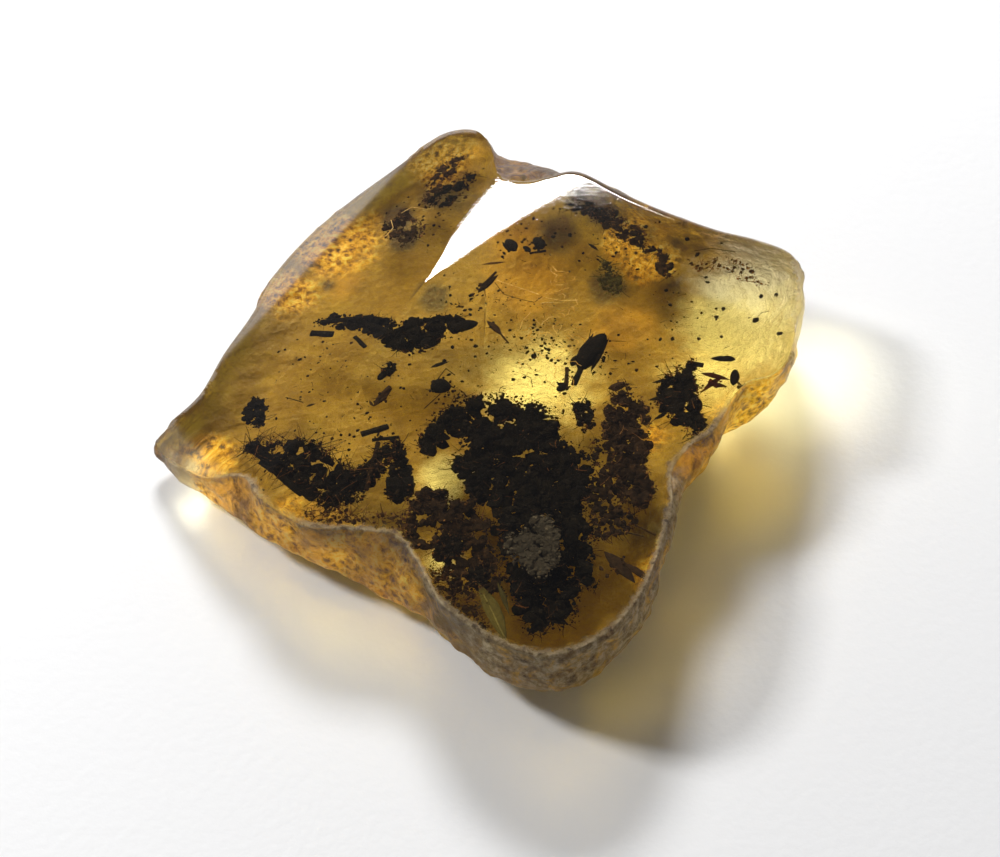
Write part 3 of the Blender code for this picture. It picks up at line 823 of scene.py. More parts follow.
def turned(rng, count, tilt):
    """Rotation matrices with any heading and a small random tilt."""
    heading = rng.uniform(0, 2 * math.pi, count)
    lean = rng.normal(0, tilt, count)
    roll = rng.normal(0, tilt, count)
    zero = np.zeros(count)
    one = np.ones(count)
    about_z = np.array([[np.cos(heading), -np.sin(heading), zero],
                        [np.sin(heading), np.cos(heading), zero],
                        [zero, zero, one]])
    about_x = np.array([[one, zero, zero],
                        [zero, np.cos(lean), -np.sin(lean)],
                        [zero, np.sin(lean), np.cos(lean)]])
    about_y = np.array([[np.cos(roll), zero, np.sin(roll)],
                        [zero, one, zero],
                        [-np.sin(roll), zero, np.cos(roll)]])
    return np.einsum("ijn,jkn,kln->nil", about_z, about_x, about_y)


# %% [markdown]
# Dark debris is not plain black: thick chips are a brown black, and thin crumbs and fibres are a lighter
# reddish brown, partly their own colour and partly painted light that would shine through them. The tone of
# each copy moves its colour between the two.

# %% Finishes of the sealed pieces


def debris_finish(name, dark, mid, light, roughness=0.85, gloss=0.06):
    finish = new_finish(name)
    place = finish.place()
    speckle = finish.noise(place, 0.28, detail=4, roughness=0.7)
    tone = (finish.attribute("tone") + (speckle - 0.5) * 0.9).clamped()
    colour = finish.ramp(tone, [(0.0, dark), (0.55, mid), (1.0, light)])
    grain = finish.noise(place, 0.09, detail=4, roughness=0.7)
    body = finish.add("BsdfPrincipled", {}, {
        "Base Color": colour, "Roughness": roughness, "Specular IOR Level": gloss,
        "Normal": finish.bump(grain, 0.08)})
    finish.output({"Surface": body})
    return finish.owner


# The dark, middle and light tone of each; the light tone is partly own colour, partly painted light through
# thin bits.
DEBRIS_COLOURS = {
    "black_debris": ((0.004, 0.003, 0.003), (0.012, 0.008, 0.005), (0.13, 0.05, 0.014)),
    "brown_debris": ((0.012, 0.007, 0.005), (0.045, 0.023, 0.012), (0.2, 0.09, 0.03)),
    "red_sepals": ((0.012, 0.003, 0.003), (0.05, 0.009, 0.006), (0.14, 0.03, 0.012)),
    "olive_leaf": ((0.03, 0.024, 0.008), (0.09, 0.07, 0.02), (0.24, 0.2, 0.07)),
    "grey_crust": ((0.012, 0.009, 0.006), (0.032, 0.025, 0.017), (0.1, 0.078, 0.052)),
}
FINISHES = {name: debris_finish(name, *colours) for name, colours in DEBRIS_COLOURS.items()}
# Painted glint: the cracks' bright gold colour stands for the light they catch.
FINISHES["painted_glint_gold"] = debris_finish(
    "painted_glint_gold", (0.12, 0.04, 0.006), (0.6, 0.32, 0.05), (0.95, 0.75, 0.3), roughness=0.25, gloss=0.8)
print("finishes:", ", ".join(FINISHES))

# %% [markdown]
# A sealed piece keeps the outline and the level of its CAD node, and the copies need places in it: random
# spots inside the outline, spots along its edge, and a height above the plane in which all debris lies.
# The outline is torn first, which gives it small corners, because nothing in soil has a smooth edge.

# %% Where the copies go
PARTING = (3.7, 0.045, -0.033)


def inside(outline, spots):
    """Which spots are within the outline, by counting how often a line from them crosses it."""
    result = np.zeros(len(spots), dtype=bool)
    corners = np.array(outline)
    for (x0, y0), (x1, y1) in zip(corners, np.roll(corners, -1, axis=0)):
        crosses = (y0 > spots[:, 1]) != (y1 > spots[:, 1])
        with np.errstate(divide="ignore", invalid="ignore"):
            at = x0 + (spots[:, 1] - y0) / (y1 - y0) * (x1 - x0)
        result ^= crosses & (spots[:, 0] < at)
    return result


def area_of(outline):
    corners = np.array(outline)
    after = np.roll(corners, -1, axis=0)
    return abs(np.sum(corners[:, 0] * after[:, 1] - after[:, 0] * corners[:, 1])) / 2


def torn(rng, outline, depth):
    """The outline with more corners, each knocked in or out a little, like a torn edge."""
    corners = np.array(outline, dtype=float)
    for size in (depth, depth / 2, depth / 4):
        after = np.roll(corners, -1, axis=0)
        middles = (corners + after) / 2 + rng.normal(0, size, corners.shape)
        corners = np.stack([corners, middles], axis=1).reshape(-1, 2)
    return corners


def fill_spots(rng, outline, count, holes=()):
    """Random spots within the outline and outside the round holes."""
    corners = np.array(outline)
    low, high = corners.min(axis=0), corners.max(axis=0)
    found = np.zeros((0, 2))
    while len(found) < count:
        spots = rng.uniform(low, high, (count * 4, 2))
        keep = inside(outline, spots)
        for x, y, radius in holes:
            keep &= np.hypot(spots[:, 0] - x, spots[:, 1] - y) > radius * rng.uniform(0.75, 1.15, len(spots))
        found = np.concatenate([found, spots[keep]])
    return found[:count]


def edge_spots(rng, outline, count):
    """Random spots on the outline, with the heading that points out of it at each."""
    corners = np.array(outline)
    along = np.roll(corners, -1, axis=0) - corners
    lengths = np.linalg.norm(along, axis=1)
    side = rng.choice(len(corners), count, p=lengths / lengths.sum())
    spots = corners[side] + along[side] * rng.uniform(0, 1, (count, 1))
    turn = np.sum(corners[:, 0] * np.roll(corners[:, 1], -1) - np.roll(corners[:, 0], -1) * corners[:, 1])
    outward = np.arctan2(-along[side, 0], along[side, 1])
    return spots, outward if turn > 0 else outward + math.pi


def lifted(spots, levels):
    """The spots at levels beside the plane in which all the debris lies."""
    heights = on_facet(PARTING, spots[:, 0], spots[:, 1]) + levels
    return np.column_stack([spots, heights])


print("debris plane:", PARTING)

# %% [markdown]
# A ragged piece is laid in five layers, from big chips in its heart to crumbs and hairs at its edge, so
# that it looks torn and not cut. A sculpted lump would be quicker, but its edge would be too smooth.

# %% A ragged piece
FRAY_WIDTH = 0.14
HAIR_WIDTHS = (0.03, 0.09)
HAIR_ROOT = 0.2


def ragged_piece(name, finish, low, high, outline, seed, core=1.1, solid=8.0, cover=20.0, lying=4.0,
                 fray=9.0, hairs=1.5, hair_length=0.7, tone=0.18, tear=0.2, holes=(), parts=(), nodes=None):
    """A torn scrap of debris, from low to high mm beside the debris plane.

    Each square mm has big chips as solid says, small ones as cover says and fibres as lying says. Each mm of
    the edge has crumbs as fray says and hairs as hairs says."""
    heap = Heap(seed)
    rng = heap.rng
    outline = torn(rng, outline, min(tear, 0.12 * math.sqrt(area_of(outline))))
    area = area_of(outline)
    around = np.linalg.norm(np.roll(outline, -1, axis=0) - outline, axis=1).sum()
    core = min(core, 0.5 * math.sqrt(area))
    middle = (low + high) / 2
    thick = high - low

    def levels(share, lower=0.0):
        return middle - lower * thick + thick * share * rng.uniform(-1, 1, count)

    # Lighter tones for fibres, edge crumbs and hairs are partly their own colour and partly painted light
    # shining through thin bits.
    def tones(painted_glow, variety):
        return np.clip(rng.normal(tone + painted_glow, variety, count), 0, 1)

    # Big chips in the middle of the scrap.
    count = int(solid * area / (core * core)) + 2
    spots = fill_spots(rng, outline, count, holes)
    spots = spots + (outline.mean(axis=0) - spots) * 0.06
    places = lifted(spots, levels(0.2, 0.1))
    chip_tones = tones(0.0, 0.06)
    heap.scatter(chips, places, core * rng.uniform(0.7, 1.1, count), 0.3, 0.2, chip_tones)

    # Small chips and crumbs over and under them.
    count = int(cover * area)
    spots = fill_spots(rng, outline, count, holes)
    sizes = 0.14 + 0.34 * rng.uniform(0, 1, count) ** 2
    heap.scatter(chips + crumbs, lifted(spots, levels(0.42)), sizes, 0.5, 0.6, tones(0.0, 0.16))

    # Fibres lying on top.
    count = int(lying * area)
    spots = fill_spots(rng, outline, count, holes)
    headings = rng.uniform(0, 2 * math.pi, count)
    places = lifted(spots, middle + thick * rng.uniform(0, 0.45, count))
    fibre_tones = tones(0.25, 0.25)
    lengths = rng.uniform(0.3, 0.9, count)
    heap.strands(places, headings, lengths, rng.uniform(*HAIR_WIDTHS, count), fibre_tones, rise=0.15)

    # Crumbs along the edge.
    count = int(fray * around)
    spots, outward = edge_spots(rng, outline, count)
    outward = outward + rng.normal(0, 0.4, count)
    away = rng.normal(0, FRAY_WIDTH, count)
    spots = spots + np.column_stack([np.cos(outward), np.sin(outward)]) * away[:, None]
    sizes = rng.uniform(0.06, 0.26, count) * np.where(away > FRAY_WIDTH, 0.6, 1.0)
    heap.scatter(crumbs, lifted(spots, levels(0.4)), sizes, 0.5, 0.7, tones(0.3, 0.25))

    # Hairs that stick out of the edge.
    count = int(hairs * around)
    spots, outward = edge_spots(rng, outline, count)
    outward = outward + rng.normal(0, 0.7, count)
    lengths = hair_length * rng.uniform(0.4, 1.5, count)
    widths = rng.uniform(*HAIR_WIDTHS, count)
    roots = spots - np.column_stack([np.cos(outward), np.sin(outward)]) * HAIR_ROOT
    heap.strands(lifted(roots, levels(0.4)), outward, lengths, widths, tones(0.3, 0.25))

    for part in parts:
        heap.laid(*part)
    heap.finish(name + "_heap", FINISHES[finish], finish, (name,) if nodes is None else nodes)


print("fray of a ragged piece:", FRAY_WIDTH, "mm")

# %% [markdown]
# Single seeds, sticks and leaves are not ragged. They are laid one by one, each from its start to its end,
# and a few crumbs stick to them.

# %% A laid piece


def laid_piece(name, finish, seed, parts, crumbs_at=()):
    """A piece of a few single shapes, with a few crumbs near given places."""
    heap = Heap(seed)
    for part in parts:
        heap.laid(*part)
    for x, y, radius, count in crumbs_at:
        spots = np.array((x, y)) + heap.rng.normal(0, radius, (count, 2))
        heap.scatter(crumbs, lifted(spots, heap.rng.uniform(-0.2, 0.2, count)),
                     heap.rng.uniform(0.1, 0.4, count), 0.6, 0.5, heap.rng.uniform(0, 0.6, count))
    heap.finish(name + "_heap", FINISHES[finish], finish, (name,))


# %% [markdown]
# The big curved mass fills the front of the stone, with windows in it through which the lit amber glows.
# A grey crust sits on it, and brown and black clumps stand round it. Each call gives the outline as it was
# read off the photograph, and the few single leaves and sticks that can be told apart.

# %% Sealed pieces at the heart of the stone
# Each window: x and y in mm, and radius.
MASS_WINDOWS = (
    (-2.5, -7.5, 0.8), (-0.6, -13.2, 0.4), (0.4, -10.3, 0.45), (-2.8, -9.6, 0.4), (-1.7, -6.2, 0.55),
    (2.2, -4.5, 0.25), (1.7, -16.8, 0.3),
)

ragged_piece("debris_mass", "black_debris", -1.2, 0.75, [
    (-4.0, -6.4), (-4.1, -5.1), (-3.2, -3.7), (-2.0, -2.6), (-0.8, -2.1), (0.5, -1.8), (2.1, -2.3),
    (3.8, -3.0), (4.4, -4.1), (5.0, -5.9), (5.9, -6.3), (6.5, -7.0), (6.7, -8.9), (6.6, -11.6),
    (6.6, -13.9), (6.4, -15.7), (6.1, -17.0), (5.5, -18.1), (5.2, -19.2), (4.2, -19.4), (3.7, -20.2),
    (3.0, -20.0), (2.4, -19.0), (1.9, -17.6), (1.5, -15.9), (1.1, -14.8), (1.0, -13.3), (0.4, -12.1),
    (1.0, -11.0), (-0.2, -10.0), (-1.0, -9.2), (-1.6, -8.0), (-1.8, -6.7), (-1.2, -5.5), (-1.7, -4.8),
    (-2.6, -5.0), (-3.0, -5.9), (-3.4, -6.7)],
    1, holes=MASS_WINDOWS, tone=0.1, core=1.3, tear=0.3)
ragged_piece("grey_crust", "grey_crust", 1.1, 1.35, [
    (1.2, -14.3), (1.6, -13.4), (2.6, -13.1), (2.9, -12.4), (3.8, -12.3), (4.3, -13.0), (4.6, -14.2),
    (4.4, -15.5), (3.8, -16.3), (3.2, -16.7), (2.6, -15.9), (1.8, -15.3)],
    2, core=0.7, tone=0.5, hairs=0.2, cover=14, lying=1.0)
ragged_piece("brown_lobe", "brown_debris", -0.8, 0.8, [
    (7.6, -3.1), (8.0, -2.0), (8.6, -1.3), (9.3, -1.8), (9.8, -2.8), (10.1, -4.0), (10.2, -5.4),
    (10.2, -6.9), (9.9, -8.0), (10.2, -9.3), (10.2, -10.8), (9.5, -11.4), (8.6, -10.7), (7.8, -8.4),
    (7.6, -6.1)],
    3, hairs=5, hair_length=0.4, tone=0.15)
ragged_piece("small_clump", "black_debris", -0.6, 0.6, [
    (5.6, -3.3), (6.0, -2.8), (6.7, -2.9), (6.9, -3.7), (6.8, -4.9), (6.3, -5.2), (5.9, -4.4)],
    4, hairs=2.5)
ragged_piece("frayed_clump", "black_debris", -0.7, 0.9, [
    (11.0, -3.2), (11.2, -2.0), (11.7, -0.9), (12.4, -0.1), (13.2, 0.2), (13.3, -1.1), (13.4, -2.2),
    (13.5, -3.4), (13.3, -4.4), (13.2, -5.6), (12.7, -5.8), (12.5, -4.7), (11.6, -4.2)],
    5, hairs=3.5, hair_length=0.9, tear=0.35,
    parts=[(BLADE, (11.6, -1.2), (10.6, -1.5), 0.25, 0.1, 0.2, 0.3),
        (BLADE, (11.3, -2.6), (10.3, -2.9), 0.3, 0.1, 0.1, 0.2),
        (BLADE, (11.5, -3.8), (10.6, -4.5), 0.3, 0.1, 0.1, 0.2),
        (STICK, (12.9, 0.1), (13.9, -0.2), 0.4, 0.3, 0.3, 0.1),
        (BLADE, (13.1, -4.6), (14.0, -5.0), 0.3, 0.1, 0.0, 0.3)])
laid_piece("leaf_remnant", "brown_debris", 6, [
    (BLADE, (7.2, -14.5), (9.0, -16.8), 0.9, 0.25, 0.1, 0.15),
    (BLADE, (8.3, -15.4), (10.0, -16.9), 0.5, 0.15, 0.2, 0.25),
    (STICK, (8.6, -13.2), (9.6, -13.5), 0.12, 0.12, 0.2, 0.3),
    (STICK, (9.1, -12.6), (10.3, -13.4), 0.14, 0.14, 0.1, 0.3)],
    [(7.9, -15.6, 0.35, 26)])
laid_piece("olive_leaf", "olive_leaf", 7, [
    (BLADE, (-0.2, -16.6), (1.5, -20.8), 1.0, 0.2, 0.0, 0.4),
    (STICK, (0.1, -17.4), (1.3, -20.4), 0.12, 0.3, 0.0, 0.8),
    (BLADE, (0.9, -16.6), (1.6, -18.9), 0.35, 0.2, 0.2, 0.1)],
    [(0.4, -17.8, 0.3, 14)])
ragged_piece("dark_oval", "black_debris", -0.5, 0.5, [
    (-0.8, -15.5), (-0.3, -15.1), (0.3, -15.6), (0.3, -16.5), (-0.2, -16.9), (-0.7, -16.4)],
    8, tear=0.08, hairs=0.5)
ragged_piece("dark_crumb", "black_debris", -0.5, 0.5, [
    (-2.7, -13.4), (-1.8, -12.9), (-1.1, -13.5), (-1.2, -14.4), (-2.0, -14.7), (-2.7, -14.2)],
    9)
ragged_piece("brown_knot", "brown_debris", -0.7, 0.6, [
    (-3.9, -9.8), (-3.2, -9.3), (-2.1, -9.8), (-1.4, -10.6), (-1.0, -11.2), (-1.5, -11.8), (-2.8, -11.6),
    (-3.7, -11.0)],
    10, tone=0.08, tear=0.3)
ragged_piece("black_block", "black_debris", -0.8, 0.7, [
    (-5.7, -7.4), (-5.2, -6.6), (-4.7, -6.9), (-4.4, -7.8), (-4.5, -8.8), (-4.6, -9.9), (-5.2, -10.2),
    (-5.7, -10.0), (-5.8, -8.7)],
    11, tone=0.08, hairs=2.5, hair_length=0.4,
    parts=[(STICK, (-5.9, -9.1), (-4.2, -9.0), 1.6, 0.8, -0.1, 0.05)])
ragged_piece("stem_strand", "brown_debris", -0.3, 0.3, [
    (-7.0, -8.1), (-6.9, -7.3), (-6.7, -6.4), (-6.3, -6.3), (-6.3, -7.0), (-6.5, -7.9), (-6.8, -8.4)],
    12, hairs=4, tone=0.1,
    parts=[(STICK, (-6.5, -5.6), (-7.1, -9.4), 0.35, 0.25, 0.0, 0.1)])
ragged_piece("leaf_litter", "black_debris", -0.6, 0.7, [
    (-14.6, -5.4), (-14.1, -5.1), (-13.3, -5.7), (-12.4, -5.5), (-10.4, -5.5), (-9.7, -6.8), (-8.5, -7.5),
    (-7.9, -8.4), (-8.0, -9.1), (-8.4, -9.7), (-9.3, -10.0), (-10.5, -9.7), (-11.6, -8.8), (-12.6, -7.4),
    (-13.8, -6.3)],
    13, cover=16, fray=12, hairs=9, hair_length=1.2, tear=0.34, tone=0.12, core=0.9, solid=5.5,
    holes=((-12.6, -6.0, 0.5), (-11.2, -6.0, 0.5), (-9.2, -7.6, 0.4), (-10.4, -7.2, 0.3)),
    parts=[(STICK, (-14.5, -5.3), (-10.2, -9.9), 0.9, 0.4, -0.1, 0.08),
        (STICK, (-13.6, -6.9), (-11.0, -9.6), 0.5, 0.3, 0.0, 0.1)])
laid_piece("red_sepals", "red_sepals", 14, [
    (BLADE, (13.7, -0.8), (15.5, -1.4), 0.42, 0.16, 0.2, 0.15),
    (BLADE, (13.8, -2.1), (15.1, -1.0), 0.4, 0.16, 0.0, 0.3),
    (BLADE, (14.1, -1.7), (15.3, -1.9), 0.4, 0.16, 0.1, 0.1),
    (STICK, (13.6, -2.3), (14.7, -1.5), 0.14, 0.14, 0.0, 0.5)],
    [(14.4, -1.6, 0.3, 12)])
laid_piece("dark_grain", "black_debris", 15, [
    (BUD, (15.9, -0.5), (15.7, -1.8), 0.6, 0.4, 0.0, 0.1),
    (BLADE, (15.9, -1.4), (16.3, -2.2), 0.2, 0.15, 0.0, 0.2)])

# %% [markdown]
# Round the mass lie a long strip of bark, flakes, seeds, husks and chips. They are too few and too
# different for a loop, so each is laid one by one where it lies in the stone.

# %% Sealed pieces scattered round them
ragged_piece("bark_strip", "black_debris", -0.6, 0.5, [
    (-10.9, 4.8), (-10.4, 5.3), (-9.1, 5.3), (-7.8, 5.0), (-6.4, 4.7), (-4.1, 4.7), (-2.2, 4.9),
    (-1.4, 4.6), (-1.2, 4.0), (-2.2, 3.1), (-2.9, 2.5), (-4.0, 1.9), (-5.2, 1.8), (-6.1, 2.3), (-6.8, 3.2),
    (-8.2, 4.2), (-9.6, 4.5)],
    16, tone=0.06, hairs=0.8, tear=0.14,
    parts=[(STICK, (-10.6, 4.9), (-7.0, 4.9), 0.5, 0.3, 0.1, 0.08),
        (STICK, (-11.2, 4.0), (-9.6, 3.7), 0.6, 0.3, 0.0, 0.1),
        (STICK, (-8.0, 4.6), (-6.0, 3.4), 0.7, 0.4, 0.0, 0.12),
        (BUD, (-2.0, 3.6), (-0.4, 4.2), 0.9, 0.5, 0.0, 0.12),
        (STICK, (-8.2, 3.3), (-7.4, 2.2), 0.35, 0.25, 0.0, 0.15)])
ragged_piece("black_flake", "black_debris", -0.4, 0.4, [
    (-15.0, -2.2), (-14.7, -1.2), (-14.0, -1.6), (-13.5, -2.3), (-13.5, -3.5), (-13.8, -4.1), (-14.4, -3.8),
    (-14.9, -3.1)],
    17, core=1.4, tone=0.02, fray=6, hairs=0.3, tear=0.08, lying=0.5)
laid_piece("twig_chip", "black_debris", 18, [
    (STICK, (-7.6, -5.0), (-5.9, -4.4), 0.5, 0.4, 0.1, 0.35),
    (STICK, (-6.9, -5.4), (-5.2, -5.2), 0.3, 0.25, -0.1, 0.15),
    (BLADE, (-5.9, -5.3), (-4.9, -6.1), 0.4, 0.2, 0.0, 0.15)],
    [(-6.4, -5.3, 0.4, 14)])
laid_piece("brown_splinter", "brown_debris", 19, [
    (BLADE, (-6.9, -2.7), (-5.8, -1.2), 0.55, 0.25, 0.0, 0.2),
    (STICK, (-6.6, -2.0), (-5.9, -1.1), 0.3, 0.2, 0.1, 0.35),
    (BLADE, (-6.9, -2.7), (-7.2, -2.2), 0.2, 0.15, 0.0, 0.3)],
    [(-6.3, -2.0, 0.2, 8)])
ragged_piece("small_flake", "black_debris", -0.3, 0.3, [
    (-6.4, 0.0), (-6.6, 0.6), (-6.1, 0.9), (-5.6, 0.8), (-5.6, 0.2), (-6.0, -0.1)],
    20, tone=0.05, tear=0.05, hairs=0.3, fray=5,
    parts=[(BUD, (-6.7, -0.5), (-6.1, 0.2), 0.5, 0.4, 0.0, 0.1)])
laid_piece("round_seed", "black_debris", 21, [
    (BUD, (-3.35, -1.25), (-2.05, -1.15), 1.2, 0.8, 0.0, 0.05),
    (STICK, (-2.7, -1.8), (-3.7, -3.0), 0.07, 0.07, 0.0, 0.3),
    (STICK, (-2.9, -0.6), (-2.4, 0.3), 0.07, 0.07, 0.0, 0.4),
    (STICK, (-2.4, 0.3), (-1.8, -0.3), 0.07, 0.07, 0.0, 0.4),
    (BLADE, (-2.2, -1.1), (-1.8, -1.4), 0.12, 0.1, 0.0, 0.3)],
    [(-2.7, -1.2, 0.28, 20)])
laid_piece("bud", "black_debris", 22, [
    (BUD, (6.1, -0.1), (7.7, 2.9), 1.45, 1.0, 0.0, 0.06),
    (BLADE, (6.8, -0.3), (8.0, 2.5), 0.4, 0.5, -0.05, 0.14),
    (BLADE, (6.0, 0.2), (7.0, 2.9), 0.5, 0.6, 0.1, 0.1),
    (STICK, (6.9, 3.3), (6.7, 2.2), 0.06, 0.06, 0.1, 0.3),
    (STICK, (6.2, 0.1), (5.7, -1.4), 0.45, 0.3, 0.0, 0.12),
    (BUD, (5.6, 0.2), (6.0, 1.1), 0.5, 0.4, 0.0, 0.1),
    (STICK, (5.3, 0.1), (5.2, -1.7), 0.3, 0.25, 0.0, 0.6),
    (BUD, (5.2, -1.2), (4.7, -1.9), 0.6, 0.4, 0.0, 0.15)],
    [(6.8, 1.2, 0.35, 26), (5.6, -0.9, 0.35, 18), (4.9, -1.5, 0.25, 12)])
laid_piece("brown_husk", "brown_debris", 23, [
    (BLADE, (0.2, 4.3), (1.2, 3.0), 0.5, 0.25, 0.0, 0.3),
    (STICK, (0.8, 3.6), (1.6, 2.3), 0.14, 0.12, 0.0, 0.35)])
laid_piece("dark_spindle", "black_debris", 24, [
    (BLADE, (14.4, 0.5), (16.0, 0.35), 0.5, 0.35, 0.0, 0.08),
    (BUD, (15.0, 0.45), (15.95, 0.4), 0.5, 0.35, 0.0, 0.1)])
laid_piece("dart", "brown_debris", 25, [
    (BLADE, (-0.4, 6.8), (0.9, 8.4), 0.55, 0.25, 0.0, 0.08),
    (STICK, (-0.1, 7.4), (0.8, 8.6), 0.2, 0.15, 0.1, 0.1),
    (BLADE, (-1.0, 6.4), (-0.6, 6.8), 0.3, 0.2, 0.0, 0.25)],
    [(-0.3, 7.2, 0.3, 8)])
laid_piece("upper_grain", "black_debris", 26, [
    (BUD, (1.5, 11.6), (2.1, 10.5), 0.8, 0.5, 0.0, 0.1),
    (BLADE, (1.2, 11.4), (1.7, 10.4), 0.3, 0.25, 0.0, 0.2)],
    [(1.8, 11.0, 0.25, 12)])
laid_piece("upper_husk", "black_debris", 27, [
    (BUD, (3.4, 11.7), (3.9, 10.6), 0.8, 0.5, 0.0, 0.12),
    (BUD, (2.6, 10.9), (3.1, 10.4), 0.4, 0.3, 0.0, 0.15),
    (STICK, (3.1, 11.2), (4.2, 10.9), 0.2, 0.2, 0.1, 0.3)],
    [(3.5, 11.1, 0.25, 12)])

# %% [markdown]
# Brown soil joins the big pieces, and streaks of it lie deep under the far facets. None of it has a node
# of its own in the CAD model, because it is loose dust without a firm shape.

# %% Soil between the pieces
ragged_piece("litter_chain", "black_debris", -0.6, 0.4, [
    (-5.2, -5.6), (-6.6, -6.2), (-7.6, -7.4), (-8.8, -9.0), (-10.0, -10.2), (-9.5, -11.0), (-8.2, -10.2),
    (-7.0, -8.8), (-6.2, -7.4), (-4.8, -6.3)],
    61, cover=14, fray=14, hairs=8, hair_length=0.8, tear=0.35, tone=0.12, core=0.9, solid=4.5, nodes=(),
    parts=[(STICK, (-5.9, -5.9), (-7.5, -8.0), 0.4, 0.25, 0.0, 0.1),
        (STICK, (-7.1, -8.0), (-9.6, -10.6), 0.5, 0.3, 0.0, 0.1),
        (BLADE, (-5.4, -6.6), (-7.0, -6.1), 0.35, 0.2, 0.1, 0.3)])
ragged_piece("soil_between", "brown_debris", -0.9, 0.3, [
    (-4.7, -9.8), (-3.2, -10.2), (-1.2, -10.6), (0.6, -12.3), (0.8, -15.6), (1.4, -17.4), (0.2, -17.4),
    (-1.6, -16.9), (-3.0, -15.6), (-4.0, -13.6), (-4.6, -11.0)],
    30, tone=0.14, cover=15, core=0.9, tear=0.5, hairs=2.5, solid=4.5, nodes=(), holes=((-2.4, -8.4, 0.9),
    (-3.6, -12.7, 0.55), (-2.6, -15.2, 0.5), (-0.8, -14.4, 0.5), (-1.0, -11.4, 0.45), (-0.1, -12.8, 0.4),
    (-3.0, -11.2, 0.3), (-4.0, -11.6, 0.35)))
ragged_piece("root_mat", "brown_debris", -0.8, 0.1, [
    (-3.2, -15.9), (-2.4, -15.3), (-0.9, -16.4), (-0.2, -18.3), (0.4, -20.2), (-0.5, -19.4), (-2.0, -18.0)],
    31, tone=0.3, cover=10, core=0.6, lying=14, hairs=3, solid=1.5, nodes=())
ragged_piece("soil_right", "brown_debris", -0.7, 0.4, [
    (6.6, -6.4), (7.6, -5.2), (8.2, -9.4), (9.0, -11.6), (8.0, -13.4), (6.9, -12.6), (6.6, -9.6)],
    32, tone=0.1, cover=14, core=0.7, tear=0.5, hairs=3, solid=4.0, nodes=(), holes=((7.2, -7.4, 0.4),
    (7.5, -10.8, 0.35)))
ragged_piece("front_soil", "brown_debris", -0.8, 0.2, [
    (-10.8, -10.9), (-9.0, -10.6), (-6.4, -11.3), (-4.6, -11.5), (-4.4, -12.9), (-6.0, -12.5),
    (-8.4, -12.2)],
    33, tone=0.4, cover=7, core=0.4, lying=8, hairs=4, tear=0.3, solid=1.0, nodes=())
ragged_piece("lobe_soil", "black_debris", -1.3, -0.5, [
    (-4.0, 15.6), (-3.2, 17.2), (-1.0, 18.8), (-0.4, 18.2), (-1.4, 16.6), (-2.6, 15.4)],
    34, tone=0.15, cover=14, core=0.9, tear=0.5, hairs=1, solid=2.5, nodes=(), holes=((-2.2, 17.0, 0.3),))
ragged_piece("lobe_flecks", "brown_debris", -1.3, -0.4, [
    (-6.4, 14.6), (-5.2, 15.6), (-4.2, 14.2), (-4.0, 12.6), (-5.2, 12.0), (-6.2, 12.8)],
    37, tone=0.2, cover=10, core=0.8, tear=0.5, hairs=2, solid=3.5, nodes=(), holes=((-5.0, 14.2, 0.35),))
ragged_piece("lobe_streak", "brown_debris", -1.3, -0.5, [
    (-4.2, 16.6), (-3.6, 18.6), (-2.2, 20.2), (-1.2, 20.4), (-1.6, 19.2), (-2.9, 17.8), (-3.4, 16.2)],
    38, tone=0.25, cover=9, core=0.7, tear=0.4, hairs=2, solid=3.0, nodes=())
ragged_piece("far_streak", "black_debris", -1.2, -0.3, [
    (5.6, 15.4), (6.8, 15.6), (8.8, 13.9), (8.2, 13.2), (6.6, 14.2), (5.4, 14.6)],
    39, tone=0.25, cover=10, core=0.8, tear=0.4, hairs=2, solid=4.0, nodes=())
ragged_piece("right_streaks", "brown_debris", -1.0, -0.2, [
    (13.6, 9.2), (15.4, 9.6), (17.6, 8.6), (18.6, 7.0), (17.8, 7.2), (16.0, 8.6), (14.0, 8.6)],
    42, tone=0.5, cover=3, core=0.4, tear=0.3, hairs=1.5, solid=0.3, lying=3, nodes=())
ragged_piece("far_soil", "brown_debris", -1.2, -0.3, [
    (7.0, 14.0), (7.6, 14.8), (9.2, 13.6), (10.8, 11.8), (12.2, 9.8), (12.6, 8.4), (11.6, 8.8),
    (10.4, 10.8), (8.8, 12.4)],
    35, tone=0.2, cover=12, core=0.8, tear=0.5, hairs=2, solid=4.5, nodes=(), holes=((9.8, 11.8, 0.4),
    (11.4, 10.0, 0.35)))
ragged_piece("olive_cloud", "olive_leaf", -0.9, 0.0, [
    (7.7, 9.9), (8.6, 9.4), (9.0, 7.8), (8.8, 6.4), (7.9, 6.8), (7.6, 8.4)],
    36, tone=0.1, cover=16, core=0.5, tear=0.3, hairs=3, solid=2.5, nodes=())

# %% [markdown]
# Specks and short hairs float all through the clear amber. The larger ones are placed one by one, and
# clouds of tiny ones are thickest near the bright window in the middle.

# %% Specks and hairs
FULL_TURN = 6.3

heap = Heap(40)
rng = heap.rng
